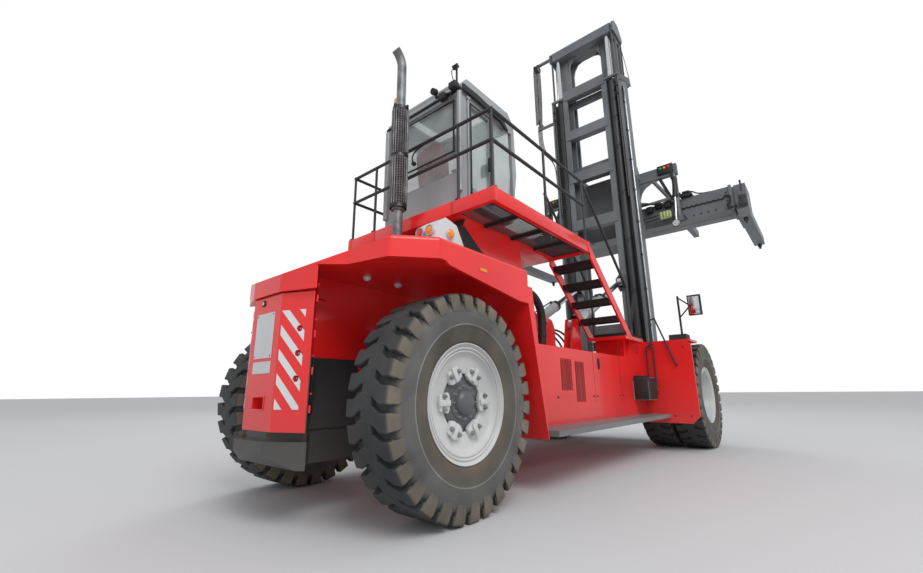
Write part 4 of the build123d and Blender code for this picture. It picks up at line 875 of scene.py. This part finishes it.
fit("deck_edges", deck, "truck", red_paint, 30, ["deck_frame"])
tread_cell = 0.045
treads = []
for low, high in islands("stair_treads"):
    (x0, y0, z0), (x1, y1, z1) = low, high
    treads.append(grating(low, (x1, y1, z1 + 0.01), tread_cell))
    for x in (x0, x1 - 0.012):
        treads.append(block((x, y0, z0 - 0.03), (x + 0.012, y1, z1 + 0.015), 0.002))
    for y in (y0 + 0.006, y1 - 0.006):
        treads.append(block((x0, y - 0.006, z0 - 0.03), (x1, y + 0.006, z1 + 0.015)))
for _, side in both_sides:
    y0, y1 = sorted((side * 0.77, side * 1.31))
    treads.append(block((-0.19, y0, 1.9), (0.64, y1, 1.935), 0.004))
    treads.append(grating((-0.19, y0, 1.94), (0.64, y1, 1.95), tread_cell))
fit("stair_tread_mesh", treads, "truck", black_plastic, 20, ["stair_treads"])

# Under the deck: black panels, the engine hood with its intake hose, markers and hydraulic hoses
panels = []
for _, side in both_sides:
    outline = [(-3.785, 2.283), (-3.705, 2.79), (-3.63, 2.93), (-3.37, 2.74), (-2.8, 2.42), (-2.7, 2.283)]
    panels.append(sheet_y(side * 0.751, outline, side * 0.008))
outline = [(-3.792, 2.283), (-3.812, 2.283), (-3.728, 2.8), (-3.61, 3.03), (-3.598, 3.02), (-3.712, 2.785)]
panels.append(sheet_y(-0.75, outline, 1.5))
fit("engine_bay_panels", panels, "truck", black_plastic, 30)
outline = [
    (-2.39, 1.62), (-2.39, 2.3), (-1.85, 2.27), (-1.2, 2.24), (-0.85, 2.2), (-0.76, 2.05), (-0.76, 1.62),
]
hood = sheet_y(-0.36, outline, 0.72)
soften(0.045, 3)
fit("engine_hood", [hood], "truck", red_paint, 35)
marks = [block((x - 0.06, -0.368, 2.0), (x + 0.06, -0.359, 2.05), 0.003) for x in (-1.68, -1.21)]
fit("hood_markers", marks, "truck", lens_amber, 30)
run = [
    (-2.36, -0.5, 2.15), (-2.1, -0.5, 2.42), (-1.7, -0.48, 2.5), (-1.42, -0.47, 2.3), (-1.38, -0.46, 2.0),
    (-1.4, -0.45, 1.72),
]
intake = [pipe(run, 0.062, 5)]
for x, y, z in ((-1.385, -0.462, 2.06), (-1.39, -0.455, 1.86)):
    intake.append(rod((x, y, z - 0.02), (x, y, z + 0.02), 0.07, 20))
fit("intake_hose", intake, "truck", black_plastic, 60)
hoses = []
for step in range(4):
    y = -0.2 + step * 0.13
    run = [(-0.9, 1, 2.0), (-0.2, 0.9, 2.2), (0.6, 0.8, 1.5), (1.5, 0.8, 1.0), (2.1, 0.8, 1.1)]
    hoses.append(pipe([(x, y * share, z) for x, share, z in run], 0.018, 2))
fit("hydraulic_hoses", hoses, "truck", black_plastic, 60)
hoses = []
for step in range(3):
    x = 1.2 + step * 0.06
    run = [(x, -0.84, 1.9), (x + 0.2, -0.85, 2.3), (x + 0.5, -0.85, 2.75)]
    hoses.append(pipe(run + [(2.0, -0.8, 3.1), (2.09, -0.75, 3.2)], 0.014, 4))
hose = dress(joined(hoses), "mast_foot_hoses", black_plastic, 60)
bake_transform(hose)

# Side panels, level with the frame's sides at 1.2 m: handles, boxes, painted shade in the grilles, seams and
# screws
side_face = -1.2
handle = [
    block((-1.145, -1.208, 1.33), (-1.085, side_face, 1.49), 0.006),
    block((-1.13, -1.216, 1.36), (-1.1, -1.205, 1.46), 0.004),
]
fit("hatch_handles", mirrored(handle), "truck", black_plastic, 30)
boxes = []
for (x0, y0, z0), (x1, y1, z1) in islands("running_boards"):
    if x1 - x0 < 1 and y0 < 0:
        boxes.append(block((x0 - 0.004, y0 - 0.004, z0 - 0.004), (x1 + 0.004, y1, z1 + 0.004), 0.02))
        boxes.append(block((x0 - 0.006, y0 - 0.008, z1 - 0.05), (x1 + 0.006, y1, z1 - 0.035), 0.004))
        boxes.append(block((x0 + 0.05, y1 - 0.12, z1), (x1 + 0.1, y1, z1 + 0.035), 0.006))
        boxes.append(block((x1, y1 - 0.14, z0), (x1 + 0.22, y1, z0 + 0.05), 0.006))
fit("battery_boxes", mirrored(boxes), "truck", black_plastic, 30)
# Dark chevrons on the grilles: painted shade standing for the holes of the perforated sheet.
pitch, columns, thick = 0.034, 4, 0.014
chevron_shades = []
for low_x, high_x, low_z, high_z in ((-2.29, -1.99, 1.03, 1.43), (-1.89, -1.62, 0.88, 1.41)):
    step_x = (high_x - low_x) / columns
    for row in range(int((high_z - low_z) / pitch)):
        z = low_z + 0.022 + row * pitch
        for column in range(columns):
            x = low_x + step_x * (column + 0.5)
            half, rise = step_x * 0.36, 0.012 * (1 if column % 2 else -1)
            ends = [(x - half, z - rise), (x + half, z + rise)]
            outline = ends + [(x, z + thick) for x, z in reversed(ends)]
            chevron_shades.append(sheet_y(side_face, outline, 0.006))
fit("grille_chevron_shades", mirrored(chevron_shades), "truck", dark_paint, 20)
seams = [block((x, -1.2015, 0.86), (x + 0.006, -1.1995, 1.78)) for x in (-1.3, -0.3)]
fit("hatch_seams", mirrored(seams), "truck", dark_paint, 30)
screws = []
for x in (-2.4, -1.36, -1.24, -0.36, -0.24, 0.6):
    for z in (0.95, 1.68):
        screws.append(rod((x, side_face, z), (x, -1.208, z), 0.012, 8))
for z in (0.6, 1.75):
    screws += [peg(0.866, 0.857, y, z, 0.012, 8) for y in (-1.35, -1.65, -1.9)]
fit("panel_screws", mirrored(screws), "truck", chain_steel, 30)

# Mirrors: bright faces and their lower trims
mirror = [
    block((1.117, -2.2, 2.35), (1.124, -2.03, 2.65), 0.004),
    block((1.117, -2.2, 2.33), (1.121, -2.03, 2.345), 0.001),
]
fit("mirror_glass", mirrored(mirror), "truck", chrome, 30)

# Tilt cylinders: gland nuts, port blocks and hoses on each barrel
start, end = Vector((-0.43, 0, 2.13)), Vector((2.15, 0, 3.405))
along = (end - start).normalized()
above = Vector((-along.z, 0, along.x))
for name, side in both_sides:
    def on_barrel(far, lift=0.0):
        """A point on the tilt cylinder's axis, lifted off it."""
        return start + along * far + above * lift + Vector((0, side * 0.5, 0))
    body = f"tilt_barrel_{name}"
    collars = []
    for near, far, radius in ((1.43, 1.53, 0.118), (0.2, 0.28, 0.116)):
        collars.append(rod(on_barrel(near), on_barrel(far), radius, 28))
    fit(f"tilt_collars_{name}", collars, body, chain_steel, 35)
    ports = [rod(on_barrel(far, 0.09), on_barrel(far, 0.15), 0.03, 12) for far in (0.36, 1.36)]
    run = ((0.36, 0.14), (0.4, 0.17), (0.8, 0.15), (1.2, 0.15), (1.36, 0.14))
    ports.append(pipe([on_barrel(*spot) for spot in run], 0.014, 2))
    fit(f"tilt_ports_{name}", ports, body, black_plastic, 40)

# Spreader: signal lamps, struts, levelling cylinders, work lamps, hoses, bolts and end fittings
board = [
    block((3.1, -1.68, 6.12), (3.15, -1.33, 6.35), 0.008),
    block((3.11, -1.66, 5.93), (3.15, -1.6, 6.13), 0.006),
    sheet_x(3.16, [(-1.29, 6.12), (-1.36, 6.12), (-1.63, 5.36), (-1.56, 5.33)], 0.05),
]
fit("signal_board", mirrored(board), "spreader", black_plastic, 30)
web_x, web_thick = 3.165, 0.03
upper_web = [
    (-0.8, 5.62), (-0.86, 5.66), (-0.9, 5.8), (-1.0, 5.92), (-1.14, 5.99), (-1.32, 6.02), (-1.32, 6.12),
    (-0.8, 6.12),
]
lower_web = [(-0.8, 5.45), (-0.8, 5.62), (-0.88, 5.56), (-1.05, 5.5), (-1.5, 5.52), (-1.6, 5.45)]
struts = [
    rod((3.2, -1.18, 6.06), (3.2, -1.54, 5.44), 0.045, 20),
    rod((3.2, -1.54, 5.44), (3.2, -1.66, 5.3), 0.045, 20),
    sheet_x(web_x, upper_web, web_thick),
    sheet_x(web_x, lower_web, web_thick),
]
fit("spreader_struts", mirrored(struts), "spreader", mast_paint, 35)
signal_round = [(0.0001, 0.03), (0.02, 0.027), (0.033, 0.014), (0.036, 0.0), (0.0001, 0.0)]
signals = (("green", lens_green), ("amber", lens_amber), ("red", lens_red))
for (tag, material), y in zip(signals, (-1.40, -1.49, -1.58)):
    lens = put(turned(signal_round, 24, x_axis), 3.1, y, 6.27, 180, "Z")
    fit(f"signal_lamp_{tag}", mirrored([lens]), "spreader", material, 40)
level_x = 3.12
barrel = [
    rod((level_x, -1.686, 5.93), (level_x, -1.646, 5.5), 0.056, 24),
    rod((level_x, -1.69, 5.97), (level_x, -1.685, 5.9), 0.03, 16),
    rod((level_x, -1.649, 5.53), (level_x, -1.643, 5.47), 0.064, 24),
]
fit("level_barrels", mirrored(barrel), "spreader", dark_paint, 40)
level_rod = rod((level_x, -1.645, 5.5), (level_x, -1.6, 4.85), 0.026, 18)
fit("level_rods", mirrored([level_rod]), "spreader", chrome, 40)
eye_y, eye_z = -1.6, 4.8
level_ring = peg(3.2, 3.09, eye_y, eye_z, 0.092, 28)
fit("level_rings", mirrored([level_ring]), "spreader", nut_grey, 35)
pins = [peg(3.1, 3.06, eye_y, eye_z, 0.072, 28), peg(3.065, 3.045, eye_y, eye_z, 0.026, 6)]
fit("level_pins", mirrored(pins), "spreader", barrel_silver, 35)
work_lamp = block((3.02, -1.52, 4.98), (3.16, -1.26, 5.15), 0.03)
fit("spreader_work_lamps", mirrored([work_lamp]), "spreader", lamp_yellow, 35)
cage = []
for y in (-1.5, -1.43, -1.36, -1.29):
    cage.append(pipe([(3.01, y, 4.97), (2.995, y, 5.06), (3.01, y, 5.16)], 0.006, 2))
cage.append(rod((3.16, -1.39, 5.06), (3.24, -1.39, 5.1), 0.02, 12))
fit("work_lamp_cages", mirrored(cage), "spreader", black_plastic, 40)
wave = [(3.27, -1.66 - step * 0.055, 5.185 + (0.022 if step % 2 else -0.022)) for step in range(18)]
drop = [
    (3.27, -2.6, 5.24), (3.24, -2.72, 5.22), (3.22, -2.71, 5.08), (3.23, -2.62, 4.98), (3.25, -2.7, 4.92),
    (3.27, -2.8, 4.94),
]
high = [(3.2, -1.3, 5.35), (3.2, -1.7, 5.5), (3.25, -1.95, 5.58), (3.35, -2.1, 5.46), (3.35, -2.35, 5.455)]
low = [(3.17, -0.75, 5.45), (3.14, -1.0, 5.5), (3.14, -1.2, 5.38), (3.15, -1.5, 5.42), (3.2, -1.72, 5.49)]
hoses = [pipe(wave, 0.014, 2), pipe(drop, 0.018, 2), pipe(high, 0.016, 2)]
hoses += [rod((3.15, -0.55, z), (3.15, -1.28, z + 0.04), 0.014, 12) for z in (5.08, 5.0)]
for y, z in ((-0.95, 5.34), (-1.15, 5.4), (-1.36, 5.36)):
    hoses.append(block((3.18, y - 0.14, z - 0.07), (3.3, y, z + 0.08), 0.02))
hoses.append(pipe(low, 0.018, 2))
hoses.append(block((3.2, -1.98, 5.445), (3.42, -1.72, 5.52), 0.015))
hoses.append(block((3.24, -1.93, 5.52), (3.38, -1.78, 5.6), 0.02))
for step in range(4):
    y = -1.74 - step * 0.06
    hoses.append(rod((3.22, y, 5.5), (3.18, y, 5.56), 0.016, 10))
fit("spreader_hoses", mirrored(hoses), "spreader", black_plastic, 50)
bolts = [peg(3.292, 3.276, y, 4.96, 0.018, 8) for y in (-1.95, -2.1, -2.25, -2.4)]
bolts += [peg(3.292, 3.27, y, z, 0.014, 8) for y in (-2.7, -2.64) for z in (4.93, 5.12, 5.31)]
fit("beam_bolts", mirrored(bolts), "spreader", chain_steel, 30)
collar = [
    block((3.262, -2.748, 4.86), (3.29, -2.69, 5.46), 0.004),
    block((3.27, -2.748, 5.44), (3.97, -2.69, 5.47), 0.004),
    block((3.27, -2.748, 4.852), (3.97, -2.69, 4.88), 0.004),
    sheet_x(3.25, [(-1.83, 4.86), (-1.95, 4.86), (-1.76, 5.03)], 0.04),
]
fit("beam_collars", mirrored(collar), "spreader", mast_paint, 30)
for name, side in both_sides:
    ends = [block((3.12, -3.02, 4.84), (3.155, -2.86, 5.12), 0.01)]
    ends += [peg(3.12, 3.1, y, z, 0.018, 8) for y in (-2.98, -2.9) for z in (4.9, 5.06)]
    ends.append(rod((3.13, -2.94, 5.2), (3.13, -2.94, 5.45), 0.02, 12))
    if side > 0:
        ends = copies(joined(ends), [Matrix.Scale(-1, 4, (0, 1, 0))])
    fit(f"end_fittings_{name}", ends, f"end_{name}", dark_paint, 35)

# Cab: gutter, seals, lamps, camera, beacon, wiper, door trim and what stands inside
cab_back = -3.632
bend = [(-3.36, 4.8), (-3.36, 4.895), (-2.75, 4.835), (-2.62, 4.7), (-2.7, 4.7), (-2.8, 4.765)]
gutter = [
    block((cab_back, -0.72, 4.845), (-3.606, 0.72, 4.875), 0.006),
    block((-3.63, -0.775, 4.8), (-3.35, -0.742, 4.9), 0.012),
    sheet_y(-0.775, bend, 0.03),
    block((cab_back, 0.722, 4.8), (-2.75, 0.74, 4.87), 0.006),
]
fit("cab_gutter", gutter, "truck", black_plastic, 35)
seal_edges = (
    ((-0.6, 3.98), (0.6, 4.005)), ((-0.6, 4.72), (0.6, 4.745)),
    ((-0.6, 3.98), (-0.575, 4.745)), ((0.575, 3.98), (0.6, 4.745)),
)
seals = [block((-3.618, *low), (-3.606, *high), 0.004) for low, high in seal_edges]
fit("cab_window_seals", seals, "truck", black_plastic, 30)
posts = [rod((-3.628, y, 3.4), (-3.628, y, 4.8), 0.034, 16) for y in (-0.70, 0.70)]
fit("cab_corner_post", posts, "truck", cab_paint, 40)
wiper = [
    peg(-3.62, -3.66, 0.12, 4.07, 0.03, 16),
    pipe([(-3.652, 0.12, 4.07), (-3.665, 0.16, 4.2), (-3.662, -0.1, 4.27), (-3.652, -0.3, 4.3)], 0.009, 2),
    block((-3.652, -0.56, 4.285), (-3.64, -0.1, 4.312), 0.003),
]
fit("rear_wiper", wiper, "truck", black_plastic, 40)
pole = (-3.635, -0.665)
camera_and_lamps = [
    rod((*pole, 4.85), (*pole, 5.17), 0.014, 12),
    rod((*pole, 5.16), (-3.68, -0.665, 5.2), 0.045, 20),
    rod((-3.65, -0.6, 4.82), (-3.65, -0.3, 4.9), 0.02, 10),
    block((-3.72, -0.51, 4.76), (-3.64, -0.41, 4.86), 0.012),
    block((-3.74, -0.72, 4.82), (-3.64, -0.6, 4.92), 0.02),
    rod((-3.66, -0.31, 4.97), (-3.72, -0.31, 4.95), 0.045, 20),
    pipe([(*pole, 5.14), (-3.66, -0.6, 5.2), (-3.64, -0.58, 5.1), (-3.63, -0.62, 4.95)], 0.006, 2),
]
fit("cab_camera_and_lamps", camera_and_lamps, "truck", black_plastic, 40)
beacon = (-3.5, 0.66)
stem = [rod((*beacon, 5.05), (*beacon, 5.3), 0.02, 12), rod((*beacon, 5.28), (*beacon, 5.34), 0.062, 24)]
fit("beacon_base", stem, "truck", black_plastic, 40)
dome_round = [(0.0001, 0.12), (0.03, 0.116), (0.05, 0.1), (0.058, 0.07), (0.06, 0.0), (0.0001, 0.0)]
fit("beacon_dome", [put(turned(dome_round, 28, z_axis), *beacon, 5.34)], "truck", lens_amber, 40)
fit("roof_unit", [block((-3.5, -0.5, 5.055), (-2.75, 0.45, 5.16), 0.05)], "truck", cab_paint, 40)
door_edges = (
    ((-3.47, 3.4), (-3.44, 4.7)), ((-3.05, 3.4), (-3.02, 4.7)),
    ((-3.47, 4.675), (-3.02, 4.705)), ((-3.47, 3.4), (-3.02, 3.43)),
)
trim = [block((x0, -0.748, z0), (x1, -0.741, z1), 0.003) for (x0, z0), (x1, z1) in door_edges]
trim.append(block((-3.1, -0.79, 3.86), (-3.07, -0.741, 4.06), 0.01))
fit("door_trim", trim, "cab_door", black_plastic, 30)


def cushion(low, high, puff=2):
    """A padded block: a bevelled box, smoothed so that its faces crown."""
    piece = block(low, high)
    soften(min(b - a for a, b in zip(low, high)) * 0.28, 2)
    use("SUBSURF", levels=puff)
    return piece


backrest = (-3.36, 0, 3.80, -8)
back = put(cushion((-0.06, -0.235, 0.0), (0.06, 0.235, 0.56)), *backrest)
head = put(cushion((-0.05, -0.13, 0.0), (0.05, 0.13, 0.16)), -3.41, 0, 4.24, -8)
seat_parts = [cushion((-3.4, -0.235, 3.66), (-2.91, 0.235, 3.81)), back, head]
for _, side in both_sides:
    bolster = cushion((-0.075, side * 0.2 - 0.035, 0.02), (0.09, side * 0.2 + 0.035, 0.5), 1)
    seat_parts.append(put(bolster, *backrest))
fit("seat_cushions", seat_parts, "truck", cloth, 60, ["operator_seat"])
wheel_round = [
    (0.17, 0.012), (0.178, 0.006), (0.182, 0), (0.178, -0.006), (0.17, -0.012), (0.162, -0.006), (0.158, 0),
    (0.162, 0.006),
]
steering = [
    turned(wheel_round, 36, z_axis),
    block((-0.165, -0.014, -0.008), (0.165, 0.014, 0.004), 0.003),
    rod((0, 0, 0.01), (0, 0, -0.4), 0.03, 14),
]
controls = [
    put(joined(steering), -2.8, 0, 4.12, -28),
    block((-2.66, -0.5, 4.1), (-2.63, -0.28, 4.3), 0.008),
    rod((-2.645, -0.39, 3.9), (-2.645, -0.39, 4.12), 0.012, 10),
]
for y in (-0.3, 0.3):
    controls.append(block((-3.3, y - 0.04, 3.93), (-2.95, y + 0.04, 3.98), 0.018))
fit("cab_controls", controls, "truck", black_plastic, 40)

# Mast: gussets under the crosshead, side pipes, hoses over the arm, brackets and bolts
gussets = []
for x in (2.5, 2.8):
    for _, side in both_sides:
        outline = [(0.445, 9.72), (0.445, 10.115), (0.12, 10.115), (0.3, 10.05), (0.4, 9.9)]
        gussets.append(sheet_x(x, [(side * out, z) for out, z in outline], 0.03))
        soften(0.004, 1)
fit("crosshead_gussets", gussets, "inner_mast", mast_paint, 30)
for name, side in both_sides:
    y = side * 0.955
    for kind, x, material in (("mast_pipes", 2.42, dark_paint), ("mast_bright_pipe", 2.5, barrel_silver)):
        run = [(x, y, 1.3), (x, y, 8.2), (x, y, 8.35), (x + 0.05, side * 0.93, 8.5)]
        fit(f"{kind}_{name}", [pipe(run, 0.018, 2)], "outer_mast", material, 40)
    clamps = []
    for step in range(8):
        z = 2.4 + step * 0.8
        clamps.append(side_block(side, (2.385, 0.932, z), (2.535, 0.962, z + 0.05), 0.006))
        clamps.append(rod((2.46, side * 0.93, z + 0.025), (2.46, side * 0.975, z + 0.025), 0.009, 6))
    fit(f"mast_pipe_clamps_{name}", clamps, "outer_mast", chain_steel, 30)
outline = [(-0.925, 8.78), (-1.15, 8.5), (-1.17, 8.28), (-1.1, 8.24), (-1.07, 8.42), (-0.925, 8.6)]
bracket = sheet_x(2.27, outline, 0.05)
soften(0.008, 2)
fit("mast_side_bracket", [bracket], "outer_mast", mast_paint, 30)
studs = [peg(2.24, 2.2, y, z, 0.03, 16) for y in (-0.86, 0.86) for z in (8.42, 8.2)]
for z in (2.0, 3.2, 4.4, 5.6, 6.8, 7.6):
    studs += [peg(2.247, 2.226, y, z, 0.022, 6) for y in (-0.72, -0.78, 0.72, 0.78)]
fit("mast_pad_bolts", studs, "outer_mast", chain_steel, 30)
arm_x = 2.305
arm_run = (
    (-0.11, 8.27), (-0.115, 8.9), (-0.115, 9.6), (-0.115, 10.12), (-0.02, 10.3), (0.105, 10.12),
    (0.105, 9.4), (0.09, 8.9), (0.03, 8.27),
)


def between_masts(name, run, radius):
    """A hose that runs from the outer mast at its start to the inner mast at its end, riding on no body."""
    hose = dress(pipe(run, radius, 2), name, black_plastic, 60)
    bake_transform(hose)


for step in range(4):
    y = 1.305 + step * 0.03
    run = [(arm_x + ahead, y, z) for ahead, z in arm_run]
    between_masts(f"arm_hose_{step}", run, 0.012)
loops = []
for step in range(4):
    y = 1.30 + step * 0.035
    run = [(2.3, y, 8.16), (2.3, y, 7.8), (2.32, y - 0.05, 7.45), (2.36, 1.05, 7.1), (2.38, 0.97, 6.7)]
    loops.append(pipe(run + [(2.38, 0.96, 5.5)], 0.013, 2))
fit("mast_hose_loops", loops, "outer_mast", black_plastic, 60)
half = [(0.098, 0.055), (0.118, 0.055), (0.118, 0.049), (0.098, 0.043)]
guard = put(turned(half + [(r, -y) for r, y in reversed(half)], 36), arm_x, 1.34, 10.16)
fit("hose_sheave_flanges", [guard], "inner_mast", dark_paint, 30)
run = [(2.6, -0.93, 9.95), (2.62, -1.0, 9.4), (2.6, -1.06, 8.9), (2.58, -1.1, 8.45)]
between_masts("mast_side_cable", run, 0.008)
